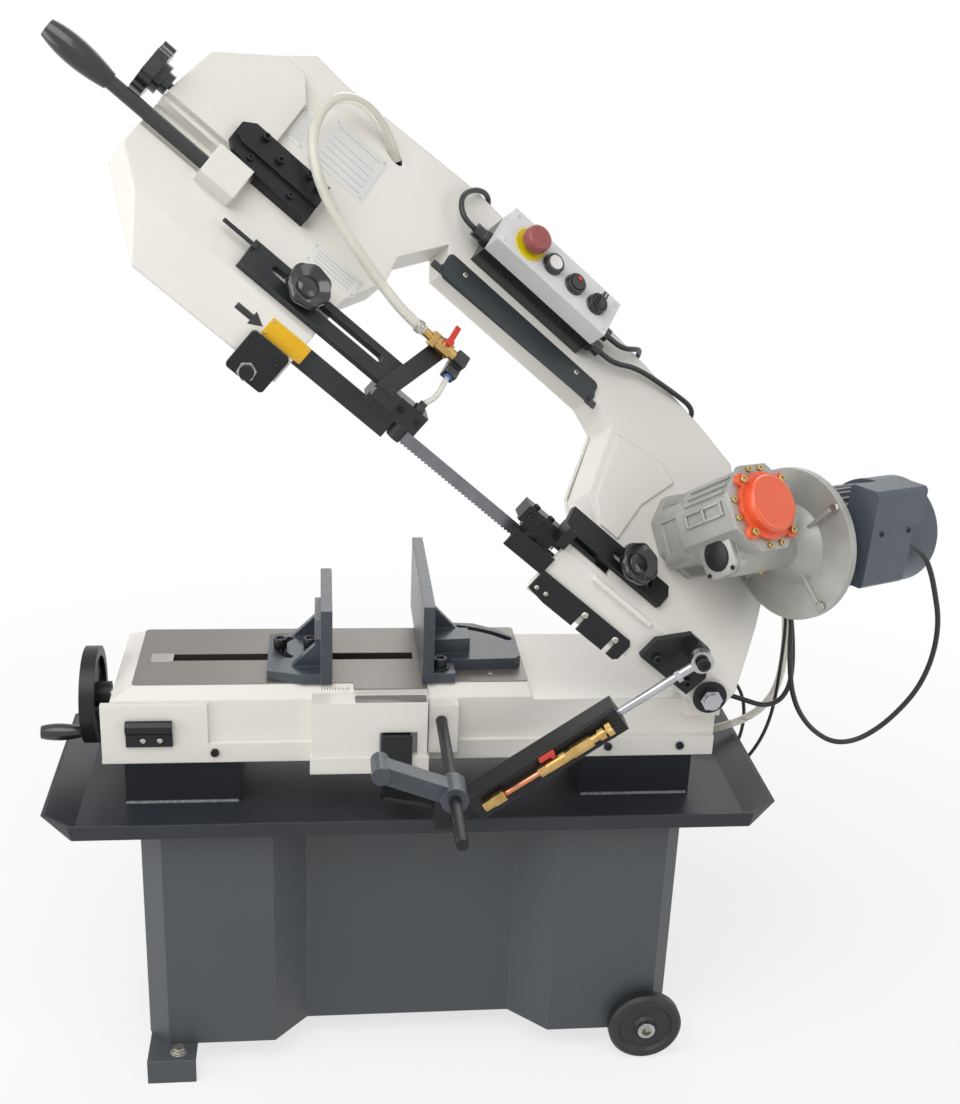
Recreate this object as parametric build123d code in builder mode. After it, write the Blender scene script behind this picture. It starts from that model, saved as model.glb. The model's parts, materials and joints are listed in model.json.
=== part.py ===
"""Metal cutting band saw with a swinging bow, a mitre vise and a sheet-metal stand.

Millimetres, +Z up, +X towards the motor end, -Y towards the operator. The origin is on the floor, under the
middle of the whole machine. Base pieces are drawn from the table reference, the middle of the table's front
edge. Bow pieces are drawn from the bow pivot, in the bow's own tilted directions.
"""
import os
from math import atan2, cos, degrees, hypot, radians, sin, tan

from build123d import *

os.makedirs("parts", exist_ok=True)

# Table reference on the floor plan, and its height
TABLE_X = -247.5
TABLE_Y = 43.0
TABLE_HEIGHT = 648.0

# Stand, tray and pedestals
SHEET = 3.0
STAND_LEFT = -286.0
STAND_RIGHT = 549.0
STAND_MID_Y = 97.0
STAND_HALF_DEPTH = 157.0
STAND_RECESS = 55.0
STAND_BOTTOM = -606.0
STAND_TOP = -203.0
TRAY_MID_X = 132.5
TRAY_HALF_LENGTH = 511.0
TRAY_FLARE = 45.0
TRAY_MID_Y = 96.0
TRAY_HALF_DEPTH = 196.0
TRAY_FLOOR = -200.0
TRAY_LIP = -180.0
PEDESTAL_WIDTH = 173.0
PEDESTAL_DEPTH = 205.0
PEDESTAL_X = (-222.0, 480.5)

# Transport wheels
CASTER_X = 512.0
CASTER_R = 60.0
CASTER_THICK = 24.0
CASTER_FRONT = -88.0
AXLE_R = 8.0

# Bed and table
BED_LEFT = -338.0
BED_RIGHT = 592.0
BED_FRONT = -20.0
BED_BACK = 220.0
BED_BOTTOM = -118.0
DECK_Z = -22.0
TABLE_LEFT = -292.0
TABLE_RIGHT = 300.0
TABLE_DEPTH = 200.0
TABLE_THICK = 27.0
SLOT_Y = 93.0
SLOT_WIDTH = 24.0
SLOT_LEFT = -266.0
SLOT_RIGHT = 129.0
BLOCK_LEFT = -27.0
BLOCK_RIGHT = 145.0
BLOCK_FRONT = -49.0
BLOCK_BOTTOM = -127.0
LEDGE_Z = -11.0
TABLE_HOLE = (245.0, 27.0)
TABLE_HOLE_R = 5.1

# Stock stop
STOP_ROD_X = 166.0
STOP_ROD_Z = -46.0
STOP_ROD_R = 8.5
STOP_ROD_BACK = 60.0
STOP_ROD_FRONT = -380.0
STOP_ARM_Y = -250.0
STOP_PAD = (66.0, -8.0)

# Vise
SCREW_Z = -61.0
SCREW_R = 9.0
JAW_HEIGHT = 119.0
JAW_THICK = 17.0
JAW_FACE_X = 3.0
JAW_PIVOT = (-30.0, 93.0)
JAW_CLAMP_R = 46.0
FIXED_FACE_X = 138.0
FIXED_LENGTH = 298.0
FIXED_PIVOT = (166.0, 14.0)
MITRE_SLOT_R = 154.0
HANDWHEEL_X = -374.0
HANDWHEEL_R = 75.0
CRANK_OFFSET = (-40.0, -44.0)

# Down-feed cylinder: lower pin in the base, upper pin on the bow
FEED_Y = -112.0
FEED_LOW = (180.0, -166.0)
FEED_PIN_R = 7.0
FEED_BODY = 44.0
FEED_BORE_R = 12.0
FEED_START = 36.0
FEED_END = 292.0
ROD_R = 6.5

# Bow: pivot, rise, lean of the wheel plane, casting sections
PIVOT_X = 566.0
PIVOT_Y = -32.0
PIVOT_Z = 2.0
PIVOT_R = 12.5
LUG_R = 30.0
LUG_CLEAR_R = 38.0
RISE = 40.0
LEAN = 45.0
WEB_FRONT = 42.0
WEB_THICK = 8.0
RIM_BACK = -14.0
WALL = 9.0
SKIRT = 30.0
SKIRT_THICK = 10.0
FEED_HIGH = (-77.0, 42.0)

# Band wheels and blade
WHEEL_R = 150.0
WHEEL_W = 150.0
WHEEL_HALF = 12.0
DRIVE_U = -165.0
IDLER_U = -945.0
SHAFT_R = 15.0
BLADE_WIDTH = 20.0
BLADE_THICK = 0.9
TOOTH_PITCH = 6.35
TOOTH_DEPTH = 2.4
CUT_LEFT_U = -700.0
CUT_RIGHT_U = -260.0

# Blade tension and lift handle
TENSION_W = 160.0
TENSION_N = 45.0
TENSION_R = 5.0
TENSION_WHEEL_R = 41.0
HANDLE_W = 98.0
HANDLE_N = 50.0
HANDLE_R = 10.0

# Gearbox and motor, along the worm axis
WORM_ANGLE = 45.0
WORM_N = 158.0
WORM_OFFSET = 49.5
WORM_R = 34.0
WORM_START_S = -41.0
GEAR_FOOT_N = 54.0
GEAR_HOUSING_N = (112.0, 215.0)
GEAR_CAP_N = 247.0
FLANGE_S = 105.0
FLANGE_R = 114.0
MOTOR_S = 131.0
FAN_S = 277.0
MOTOR_END_S = 347.0
MOTOR_R = 78.0
FAN_R = 84.0
TERMINAL_S = (145.0, 238.0, 257.0)
MOTOR_GLAND = (92.0, -5.0)
GLAND_REACH = 18.0

# Control box on the bow
BOX_U = (-670.0, -457.0)
BOX_W = (288.0, 356.0)
BOX_SPLIT_N = 80.0
BOX_FACE_N = 114.0
BOX_WALL = 3.0
CONTROL_W = 321.0
CONTROL_U = (-624.0, -580.0, -536.0, -492.0)

# Fits
RUN = 0.05
GAP = 0.4

rise = radians(RISE)
lean = radians(LEAN)
ALONG = Vector(cos(rise), 0, -sin(rise))
LIFT = Vector(sin(rise), 0, cos(rise))
ACROSS = LIFT * cos(lean) + Vector(0, 1, 0) * sin(lean)
OUT = LIFT * sin(lean) - Vector(0, 1, 0) * cos(lean)


def at(x, y, z):
    """A point given from the table reference."""
    return Vector(TABLE_X + x, TABLE_Y + y, TABLE_HEIGHT + z)


PIVOT = at(PIVOT_X, PIVOT_Y, PIVOT_Z)


def bow_point(u, w, n):
    """A point given along, across and out of the wheel plane."""
    return PIVOT + ALONG * u + ACROSS * w + OUT * n


def level(z):
    """Level plane, drawn in x and y."""
    return Plane(origin=at(0, 0, z))


def upright(y):
    """Upright plane across the machine, drawn in x and z, growing towards the operator."""
    return Plane(origin=at(0, y, 0), x_dir=(1, 0, 0), z_dir=(0, -1, 0))


def endwise(x):
    """Upright plane along the short side, drawn in y and z, growing to the right."""
    return Plane(origin=at(x, 0, 0), x_dir=(0, 1, 0), z_dir=(1, 0, 0))


def web(n):
    """Plane parallel to the band wheels, drawn along and across, growing out of the web."""
    return Plane(origin=bow_point(0, 0, n), x_dir=ALONG, z_dir=OUT)


def skirt(d):
    """Upright plane in front of the blade by d, drawn along the bow and up."""
    return Plane(origin=PIVOT - Vector(0, d, 0), x_dir=ALONG, z_dir=(0, -1, 0))


def section(u):
    """Plane square to the bow, drawn across and out, growing along the bow."""
    return Plane(origin=bow_point(u, 0, 0), x_dir=ACROSS, z_dir=ALONG)


WORM = ALONG * cos(radians(WORM_ANGLE)) + ACROSS * sin(radians(WORM_ANGLE))
WORM_DOWN = ALONG * sin(radians(WORM_ANGLE)) - ACROSS * cos(radians(WORM_ANGLE))
WORM_FOOT = bow_point(DRIVE_U, WHEEL_W, WORM_N) + WORM_DOWN * WORM_OFFSET
MOTOR_SIDE = WORM.cross(Vector(0, 0, 1))


def worm(s):
    """Plane square to the worm and motor axis, local x towards the operator, local y down."""
    return Plane(origin=WORM_FOOT + WORM * s, x_dir=MOTOR_SIDE, z_dir=WORM)


FEED_Q = at(FEED_LOW[0], FEED_Y, FEED_LOW[1])
FEED_P = PIVOT + ALONG * FEED_HIGH[0] + LIFT * FEED_HIGH[1] + Vector(0, FEED_Y - PIVOT_Y, 0)
FEED_LENGTH = (FEED_P - FEED_Q).length
FEED_DIR = (FEED_P - FEED_Q).normalized()


def feed(s):
    """Plane square to the feed cylinder, s from its lower pin, local x towards the back."""
    return Plane(origin=FEED_Q + FEED_DIR * s, x_dir=(0, 1, 0), z_dir=FEED_DIR)


def polygon(points):
    """Polygon with its corners where they are given."""
    return Polygon(*points, align=None)


def block(plane, low, high, depth, mode=Mode.ADD):
    """Rectangular block on a plane, between two corners."""
    with BuildSketch(plane) as outline:
        with Locations(((low[0] + high[0]) / 2, (low[1] + high[1]) / 2)):
            Rectangle(high[0] - low[0], high[1] - low[1])
    extrude(outline.sketch, amount=depth, mode=mode)


def disc(plane, centre, radius, depth, mode=Mode.ADD):
    """Round bar or bore on a plane."""
    with BuildSketch(plane) as outline:
        with Locations(centre):
            Circle(radius)
    extrude(outline.sketch, amount=depth, mode=mode)


def prism(plane, points, depth, mode=Mode.ADD):
    """Polygon on a plane, drawn out."""
    with BuildSketch(plane) as outline:
        polygon(points)
    extrude(outline.sketch, amount=depth, mode=mode)


def arc_slot(plane, centre, radius, start, end, width, depth):
    """Curved slot cut about a centre, from one angle to another."""
    wedge = [(0, 0)]
    for share in (0, 1, 2, 3):
        angle = radians(start + (end - start) * share / 3)
        wedge.append((2 * radius * cos(angle), 2 * radius * sin(angle)))
    ends = [(radius * cos(radians(angle)), radius * sin(radians(angle))) for angle in (start, end)]
    with BuildSketch(plane) as outline:
        with Locations(centre):
            Circle(radius + width / 2)
            Circle(radius - width / 2, mode=Mode.SUBTRACT)
            Polygon(*wedge, align=None, mode=Mode.INTERSECT)
            with Locations(*ends):
                Circle(width / 2)
    extrude(outline.sketch, amount=depth, mode=Mode.SUBTRACT)


def lobed(plane, centre, radius, depth, lobes):
    """Hand knob: a disc with rounded lobes."""
    with BuildSketch(plane) as outline:
        with Locations(centre):
            Circle(radius * 0.9)
            with PolarLocations(radius * 0.82, lobes):
                Circle(radius * 0.18)
    extrude(outline.sketch, amount=depth)


# Stand: folded sheet columns with a recessed middle, and a top flange
with BuildPart() as stand:
    depth = STAND_HALF_DEPTH
    recess_y = -depth + STAND_RECESS
    front_half = [
        (STAND_LEFT, 0), (STAND_LEFT, -depth + 33), (STAND_LEFT + 33, -depth), (-86, -depth), (-36, recess_y),
        (295, recess_y), (355, -depth), (STAND_RIGHT - 23, -depth), (STAND_RIGHT, -depth + 23), (STAND_RIGHT, 0),
    ]
    back_half = [(x, -y) for x, y in reversed(front_half[1:-1])]
    stand_plan = Plane(origin=at(0, STAND_MID_Y, STAND_BOTTOM))
    with BuildSketch(stand_plan):
        polygon(front_half + back_half)
        offset(amount=-SHEET, mode=Mode.SUBTRACT)
    extrude(amount=STAND_TOP - STAND_BOTTOM)
    with BuildSketch(stand_plan.offset(STAND_TOP - STAND_BOTTOM - SHEET)):
        polygon(front_half + back_half)
        offset(amount=-38, mode=Mode.SUBTRACT)
    extrude(amount=SHEET)
    with BuildSketch(stand_plan):
        polygon(front_half + back_half)
        offset(amount=-38, mode=Mode.SUBTRACT)
    extrude(amount=SHEET)
    block(upright(260), (0, -570), (260, -330), 90, Mode.SUBTRACT)
    disc(upright(260), (CASTER_X, CASTER_R - TABLE_HEIGHT), AXLE_R, 330, Mode.SUBTRACT)


# Chip tray: a sheet pan with a flared rim
def tray_ring(half_length, half_depth, corner_x, corner_y):
    """Eight-sided outline of the tray."""
    right = [(half_length - corner_x, -half_depth), (half_length, -half_depth + corner_y),
             (half_length, half_depth - corner_y), (half_length - corner_x, half_depth)]
    return right + [(-x, -y) for x, y in right]


with BuildPart() as chip_tray:
    tray_plan = Plane(origin=at(TRAY_MID_X, TRAY_MID_Y, TRAY_FLOOR - SHEET))
    rim_height = TRAY_LIP - TRAY_FLOOR + SHEET
    rim_length = TRAY_HALF_LENGTH + TRAY_FLARE
    with BuildSketch(tray_plan):
        polygon(tray_ring(TRAY_HALF_LENGTH, TRAY_HALF_DEPTH, 4, 4))
    with BuildSketch(tray_plan.offset(rim_height)):
        polygon(tray_ring(rim_length, TRAY_HALF_DEPTH, 43, 34))
    loft(ruled=True)
    with BuildSketch(tray_plan.offset(SHEET)):
        polygon(tray_ring(TRAY_HALF_LENGTH - SHEET, TRAY_HALF_DEPTH - SHEET, 4, 4))
    with BuildSketch(tray_plan.offset(rim_height + 0.01)):
        polygon(tray_ring(rim_length - SHEET - 2, TRAY_HALF_DEPTH - SHEET, 43, 34))
    loft(ruled=True, mode=Mode.SUBTRACT)

# Pedestals welded on the tray floor, under the two ends of the bed
with BuildPart() as pedestals:
    for pedestal_x in PEDESTAL_X:
        left = pedestal_x - PEDESTAL_WIDTH / 2
        right = pedestal_x + PEDESTAL_WIDTH / 2
        block(level(TRAY_FLOOR), (left, 0), (right, PEDESTAL_DEPTH), BED_BOTTOM - TRAY_FLOOR)
        block(level(TRAY_FLOOR), (left + 6, 6), (right - 6, PEDESTAL_DEPTH - 6), BED_BOTTOM - TRAY_FLOOR - 6,
              Mode.SUBTRACT)

# Feet at the left end: bent plates with a lip down to the floor
with BuildPart() as foot_brackets:
    for foot_y, inward in ((-100, 1), (2 * STAND_MID_Y + 100, -1)):
        prism(endwise(-284), [
            (foot_y, -TABLE_HEIGHT), (foot_y, STAND_BOTTOM), (foot_y + inward * 85, STAND_BOTTOM),
            (foot_y + inward * 85, STAND_BOTTOM - 6), (foot_y + inward * 6, STAND_BOTTOM - 6),
            (foot_y + inward * 6, -TABLE_HEIGHT),
        ], 75)
        disc(level(STAND_BOTTOM - 7), (-236, foot_y + inward * 22), 7, 8, Mode.SUBTRACT)

# Axle of the transport wheels, with its end collars
axle_z = CASTER_R - TABLE_HEIGHT
CASTER_BACK = 2 * STAND_MID_Y - CASTER_FRONT
with BuildPart() as wheel_axle:
    disc(upright(CASTER_BACK + 8), (CASTER_X, axle_z), AXLE_R, CASTER_BACK - CASTER_FRONT + 16)
    disc(upright(CASTER_FRONT - GAP), (CASTER_X, axle_z), 14, 6)
    disc(upright(CASTER_BACK + GAP + 6), (CASTER_X, axle_z), 14, 6)


def transport_wheel(front_y):
    """Rubber-tyred wheel turned about the axle."""
    half = CASTER_THICK / 2
    centre = at(CASTER_X, front_y + half, axle_z)
    with BuildPart() as wheel:
        with BuildSketch(Plane(origin=centre, x_dir=(1, 0, 0), z_dir=(0, 0, 1))) as wheel_section:
            polygon([
                (AXLE_R + RUN, -half), (16, -half), (20, -half + 5), (41, -half + 5), (45, -half),
                (CASTER_R - 5, -half), (CASTER_R, -half + 5), (CASTER_R, half - 5), (CASTER_R - 5, half),
                (45, half), (41, half - 5), (20, half - 5), (16, half), (AXLE_R + RUN, half),
            ])
        revolve(wheel_section.sketch, axis=Axis(centre, (0, 1, 0)))
    return wheel


front_wheel = transport_wheel(CASTER_FRONT)
rear_wheel = transport_wheel(CASTER_BACK - CASTER_THICK)

# Coolant tank with its pump, inside the stand
with BuildPart() as coolant_tank:
    block(level(STAND_BOTTOM + SHEET), (10, 24), (250, 190), 150)
    block(level(STAND_BOTTOM + SHEET + 3), (13, 27), (247, 187), 145, Mode.SUBTRACT)
    disc(level(STAND_BOTTOM + SHEET + 150), (190, 110), 42, 95)
    disc(level(STAND_BOTTOM + SHEET + 245), (190, 110), 30, 20)
    block(level(STAND_BOTTOM + SHEET), (-36, 60), (290, 66), 3)

# Bed: hollow casting with the ground table, the T-slot and the block under the cut
with BuildPart() as bed:
    prism(upright(BED_BACK), [
        (BED_LEFT, BED_BOTTOM), (BED_LEFT + 16, -18), (TABLE_LEFT, -2), (TABLE_RIGHT, -2),
        (TABLE_RIGHT + 6, DECK_Z), (BED_RIGHT, DECK_Z), (BED_RIGHT, BED_BOTTOM),
    ], BED_BACK - BED_FRONT)
    rim_run = TABLE_RIGHT + 6 - BED_LEFT + 1
    prism(endwise(BED_LEFT - 1), [(BED_FRONT - 1, -18), (BED_FRONT - 1, 1), (0, 1), (0, -2)], rim_run,
          Mode.SUBTRACT)
    prism(endwise(BED_LEFT - 1), [(BED_BACK + 1, -18), (BED_BACK + 1, 1), (TABLE_DEPTH, 1), (TABLE_DEPTH, -2)],
          rim_run, Mode.SUBTRACT)
    with BuildSketch(level(-2)):
        with Locations(((TABLE_LEFT + TABLE_RIGHT) / 2, TABLE_DEPTH / 2)):
            RectangleRounded(TABLE_RIGHT - TABLE_LEFT, TABLE_DEPTH, 6)
    extrude(amount=2)
    block(level(LEDGE_Z - 16), (35, -22), (BLOCK_RIGHT, 2), 16 - LEDGE_Z)
    block(level(BLOCK_BOTTOM), (BLOCK_LEFT, BLOCK_FRONT), (BLOCK_RIGHT, BED_FRONT + 5), LEDGE_Z - BLOCK_BOTTOM)
    block(level(BLOCK_BOTTOM), (BLOCK_LEFT - 3, BLOCK_FRONT - 3), (BLOCK_RIGHT + 3, BED_FRONT + 5), 27)
    block(level(BED_BOTTOM), (BED_LEFT + 2, BED_FRONT - 6), (-180, BED_FRONT + 5), 96)
    block(level(BED_BOTTOM), (-185, BED_FRONT - 6), (BLOCK_LEFT, BED_FRONT + 5), 32)
    block(level(BED_BOTTOM), (BLOCK_RIGHT, BED_FRONT - 6), (BED_RIGHT, BED_FRONT + 5), 32)
    block(level(-100), (147, -40), (192, BED_FRONT + 5), 80)
    block(level(BED_BOTTOM - 1), (BED_LEFT + 28, BED_FRONT + 15), (BED_RIGHT - 30, BED_BACK - 15),
          1 - TABLE_THICK - BED_BOTTOM, Mode.SUBTRACT)
    block(level(BLOCK_BOTTOM - 1), (BLOCK_LEFT + 10, BLOCK_FRONT + 9), (BLOCK_RIGHT - 10, BED_FRONT + 20), 92,
          Mode.SUBTRACT)
    block(upright(BED_FRONT), (74, -97), (130, -60), 40, Mode.SUBTRACT)
    block(level(-TABLE_THICK - 1), (SLOT_LEFT, SLOT_Y - SLOT_WIDTH / 2), (SLOT_RIGHT, SLOT_Y + SLOT_WIDTH / 2),
          TABLE_THICK + 2, Mode.SUBTRACT)
    block(level(DECK_Z - 20), (PIVOT_X - LUG_R, -42), (PIVOT_X + LUG_R - 4, 30), PIVOT_Z - DECK_Z + 20)
    disc(upright(30), (PIVOT_X, PIVOT_Z), LUG_R, 72)
    disc(upright(31), (PIVOT_X, PIVOT_Z), PIVOT_R, 80, Mode.SUBTRACT)
    disc(endwise(BED_LEFT - 5), (SLOT_Y, SCREW_Z), SCREW_R + RUN, 60, Mode.SUBTRACT)
    disc(upright(30), (STOP_ROD_X, STOP_ROD_Z), STOP_ROD_R + RUN, 80, Mode.SUBTRACT)
    disc(level(-TABLE_THICK - 1), TABLE_HOLE, TABLE_HOLE_R, TABLE_THICK + 2, Mode.SUBTRACT)
    disc(level(-TABLE_THICK - 1), FIXED_PIVOT, 6, TABLE_THICK + 2, Mode.SUBTRACT)

# Stop channel on the bed front, where the bow's end stop comes down
with BuildPart() as stop_channel:
    channel_back = BED_FRONT - 6
    prism(endwise(-300), [
        (channel_back, -88), (channel_back - 5, -88), (channel_back - 5, -68), (channel_back - 12, -62),
        (channel_back - 12, -52), (channel_back - 7, -47), (channel_back, -47),
    ], 68)

# Pivot shaft with its washer and nut
with BuildPart() as pivot_shaft:
    nut_y = PIVOT_Y - SKIRT - GAP
    disc(upright(30), (PIVOT_X, PIVOT_Z), PIVOT_R, 30 - nut_y + 24)
    disc(upright(nut_y), (PIVOT_X, PIVOT_Z), 24, 5)
    with BuildSketch(upright(nut_y - 5)):
        with Locations((PIVOT_X, PIVOT_Z)):
            RegularPolygon(17, 6)
    extrude(amount=13)

# Lower bracket of the feed cylinder: plate in the bed's window, shelf over the tray lip, fork and pin
with BuildPart() as cylinder_clevis:
    plate_y = BLOCK_FRONT - 3
    block(upright(plate_y), (76, -168), (122, -62), 5)
    block(upright(BLOCK_FRONT + 8), (78, -94), (120, -64), 11)
    prism(level(-160), [(80, plate_y - 5), (122, plate_y - 5), (158, FEED_Y + 19), (158, FEED_Y + 12),
                        (150, FEED_Y + 12), (80, plate_y - 24)], 6)
    fork_x, fork_z = FEED_LOW
    fork = [(fork_x - 28, fork_z - 12), (fork_x + 14, fork_z - 12), (fork_x + 14, fork_z + 18),
            (fork_x + 2, fork_z + 32), (fork_x - 28, fork_z + 32)]
    prism(upright(FEED_Y + 18), fork, 6)
    prism(upright(FEED_Y - 12), fork, 6)
    block(upright(FEED_Y + 18), (fork_x - 28, fork_z + 26), (fork_x - 8, fork_z + 32), 36)
    disc(upright(FEED_Y + 18), FEED_LOW, FEED_PIN_R, 40)

# Vise screw, handwheel and the revolving grip
with BuildPart() as vise_screw:
    disc(endwise(HANDWHEEL_X + 12), (SLOT_Y, SCREW_Z), SCREW_R, 130 - HANDWHEEL_X)

crank = (SLOT_Y + CRANK_OFFSET[0], SCREW_Z + CRANK_OFFSET[1])
with BuildPart() as vise_handwheel:
    hub = (SLOT_Y, SCREW_Z)
    with BuildSketch(endwise(HANDWHEEL_X)):
        with Locations(hub):
            Circle(HANDWHEEL_R)
            Circle(HANDWHEEL_R - 15, mode=Mode.SUBTRACT)
    extrude(amount=22)
    with BuildSketch(endwise(HANDWHEEL_X + 8)):
        with Locations(hub):
            Circle(HANDWHEEL_R - 12)
            with PolarLocations(40, 3):
                Circle(15, mode=Mode.SUBTRACT)
    extrude(amount=7)
    disc(endwise(HANDWHEEL_X + 4), hub, 20, 34)
    disc(endwise(HANDWHEEL_X + 12), hub, SCREW_R + 0.02, 30, Mode.SUBTRACT)
    disc(endwise(HANDWHEEL_X - 1), crank, 9, 14)
    disc(endwise(HANDWHEEL_X - 63), crank, 5, 64)

with BuildPart() as crank_grip:
    grip_end = at(HANDWHEEL_X - 1 - GAP, crank[0], crank[1])
    with BuildSketch(Plane(origin=grip_end, x_dir=(0, 0, 1), z_dir=(0, 1, 0))):
        with BuildLine():
            Polyline((10, -62), (5 + RUN, -62), (5 + RUN, 0), (8, 0))
            Spline((8, 0), (12, -20), (13, -42), (10, -62))
        make_face()
    revolve(axis=Axis(grip_end, (1, 0, 0)))

# Nut carriage in the T-slot, with the jaw's pivot pin and clamp stud
with BuildPart() as jaw_carriage:
    block(level(-TABLE_THICK - 3), (-95, SLOT_Y - 11.5), (-10, SLOT_Y + 11.5), TABLE_THICK + 3)
    block(level(-84), (-80, SLOT_Y - 24), (-20, SLOT_Y + 24), 84 - TABLE_THICK - 0.5)
    disc(endwise(-100), (SLOT_Y, SCREW_Z), SCREW_R + RUN, 120, Mode.SUBTRACT)
    for pin in (JAW_PIVOT, (JAW_PIVOT[0] - JAW_CLAMP_R, JAW_PIVOT[1])):
        disc(level(-5), pin, 6, 22 + 2 * GAP)
        disc(level(16 + 2 * GAP), pin, 10, 12)

with BuildPart() as movable_jaw:
    block(endwise(JAW_FACE_X - JAW_THICK), (-8, GAP), (165, JAW_HEIGHT), JAW_THICK)
    prism(level(GAP), [(-94, 10), (-40, -6), (JAW_FACE_X - 8, -6), (JAW_FACE_X - 8, 150), (-60, 150), (-94, 142)],
          16 - GAP)
    prism(endwise(JAW_FACE_X - JAW_THICK - 9), [(24, 15), (24, 60), (40, 84), (130, 84), (146, 60), (146, 15)], 11)
    for rib_y in (24, 134):
        prism(upright(rib_y + 12), [(-60, 14), (-13, 60), (-10, 60), (-10, 14)], 12)
    disc(level(GAP), JAW_PIVOT, 6 + RUN, 40, Mode.SUBTRACT)
    arc_slot(level(0), JAW_PIVOT, JAW_CLAMP_R, 134, 226, 13, 20)
    disc(level(16), JAW_PIVOT, 11, 40, Mode.SUBTRACT)

with BuildPart() as fixed_jaw:
    block(endwise(FIXED_FACE_X), (-8, GAP), (FIXED_LENGTH - 8, JAW_HEIGHT + 6), JAW_THICK)
    inner_x = FIXED_FACE_X + 8
    block(level(GAP), (inner_x, -6), (FIXED_FACE_X + 50, 34), 16 - GAP)
    prism(level(GAP), [(inner_x, 30), (FIXED_FACE_X + 40, 38), (284, 42), (294, 52), (294, 120), (268, 152),
                       (232, 176), (inner_x, 186)], 18 - GAP)
    arc_slot(level(0), FIXED_PIVOT, MITRE_SLOT_R, 41, 86, 13, 20)
    prism(level(16), [(inner_x, 58), (FIXED_FACE_X + 78, 64), (FIXED_FACE_X + 78, 104), (inner_x, 110)], 26)
    prism(upright(116), [(inner_x, 16), (FIXED_FACE_X + 84, 16), (inner_x, 96)], 12)
    disc(level(-TABLE_THICK), FIXED_PIVOT, 6 - RUN, TABLE_THICK + 20)
    disc(level(16), FIXED_PIVOT, 10, 14)

# Stock stop: rod through the bed boss and a cast arm on it
with BuildPart() as stop_rod:
    disc(upright(STOP_ROD_BACK), (STOP_ROD_X, STOP_ROD_Z), STOP_ROD_R, STOP_ROD_BACK - STOP_ROD_FRONT)

with BuildPart() as stop_arm:
    hub = (STOP_ROD_X, STOP_ROD_Z)
    reach = (STOP_PAD[0] - hub[0], STOP_PAD[1] - hub[1])
    disc(upright(STOP_ARM_Y + 23), hub, 19, 46)
    with BuildSketch(upright(STOP_ARM_Y + 15)):
        with Locations(((hub[0] + STOP_PAD[0]) / 2, (hub[1] + STOP_PAD[1]) / 2)):
            Rectangle(hypot(*reach), 25, rotation=degrees(atan2(reach[1], reach[0])))
    extrude(amount=30)
    disc(upright(STOP_ARM_Y + 26), STOP_PAD, 13, 46)
    disc(upright(STOP_ARM_Y + 30), hub, STOP_ROD_R + RUN, 60, Mode.SUBTRACT)

# Feed cylinder, its brass valve train, the shut-off lever and the piston rod
with BuildPart() as feed_cylinder:
    with BuildSketch(feed(FEED_START)):
        RectangleRounded(FEED_BODY, FEED_BODY, 5)
        Circle(FEED_BORE_R, mode=Mode.SUBTRACT)
    extrude(amount=FEED_END - FEED_START)
    with BuildSketch(feed(FEED_START)):
        RectangleRounded(FEED_BODY, FEED_BODY, 5)
    extrude(amount=20)
    eye_plane = Plane(origin=FEED_Q + Vector(0, 11, 0), x_dir=FEED_DIR, z_dir=(0, -1, 0))
    disc(eye_plane, (0, 0), 14, 22)
    block(eye_plane, (0, -10), (FEED_START, 10), 22)
    disc(eye_plane, (0, 0), FEED_PIN_R + RUN, 22, Mode.SUBTRACT)
    disc(feed(FEED_END - 8), (0, 0), FEED_BORE_R + 1, 8)
    disc(feed(FEED_END - 8), (0, 0), ROD_R + 4.2, 8, Mode.SUBTRACT)

train_y = -FEED_BODY / 2 - 9.5
TRAIN = [(54, 70, 7), (70, 90, 8), (90, 150, 3.2), (150, 164, 7), (164, 196, 9), (196, 206, 7), (206, 240, 8),
         (240, 252, 6), (252, 262, 9), (262, 266, 4), (266, 274, 9)]
with BuildPart() as feed_valve_train:
    for start, end, radius in TRAIN:
        if radius in (7, 8):
            with BuildSketch(feed(start)) as hex_outline:
                with Locations((train_y, 2)):
                    RegularPolygon(radius, 6, major_radius=False)
            extrude(hex_outline.sketch, amount=end - start)
        else:
            disc(feed(start), (train_y, 2), radius, end - start)
    for stub in (62, 258):
        stub_plane = Plane(origin=feed(stub).from_local_coords((train_y, 2, 0)), x_dir=FEED_DIR, z_dir=(0, 1, 0))
        disc(stub_plane, (0, 0), 4.5, 9.5)

VALVE_S = 180.0
lever_up = feed(VALVE_S).y_dir
with BuildPart() as feed_valve_lever:
    lever_plane = Plane(origin=feed(VALVE_S).from_local_coords((train_y, 2, 0)) + lever_up * (9 + GAP),
                        x_dir=FEED_DIR, z_dir=lever_up)
    disc(lever_plane, (0, 0), 4, 9)
    block(lever_plane.offset(5), (-20, -5), (5, 5), 4)

with BuildPart() as piston_rod:
    rod_start = FEED_END - 40
    disc(feed(rod_start), (0, 0), ROD_R, FEED_LENGTH - 34 - rod_start)
    with BuildSketch(feed(FEED_LENGTH - 44)):
        RegularPolygon(11, 6)
    extrude(amount=8)
    disc(feed(FEED_LENGTH - 36), (0, 0), 7.4, 24)
    eye_plane = Plane(origin=FEED_P + Vector(0, 8, 0), x_dir=FEED_DIR, z_dir=(0, -1, 0))
    disc(eye_plane, (0, 0), 17, 16)
    disc(eye_plane, (0, 0), FEED_PIN_R + RUN, 16, Mode.SUBTRACT)

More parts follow.
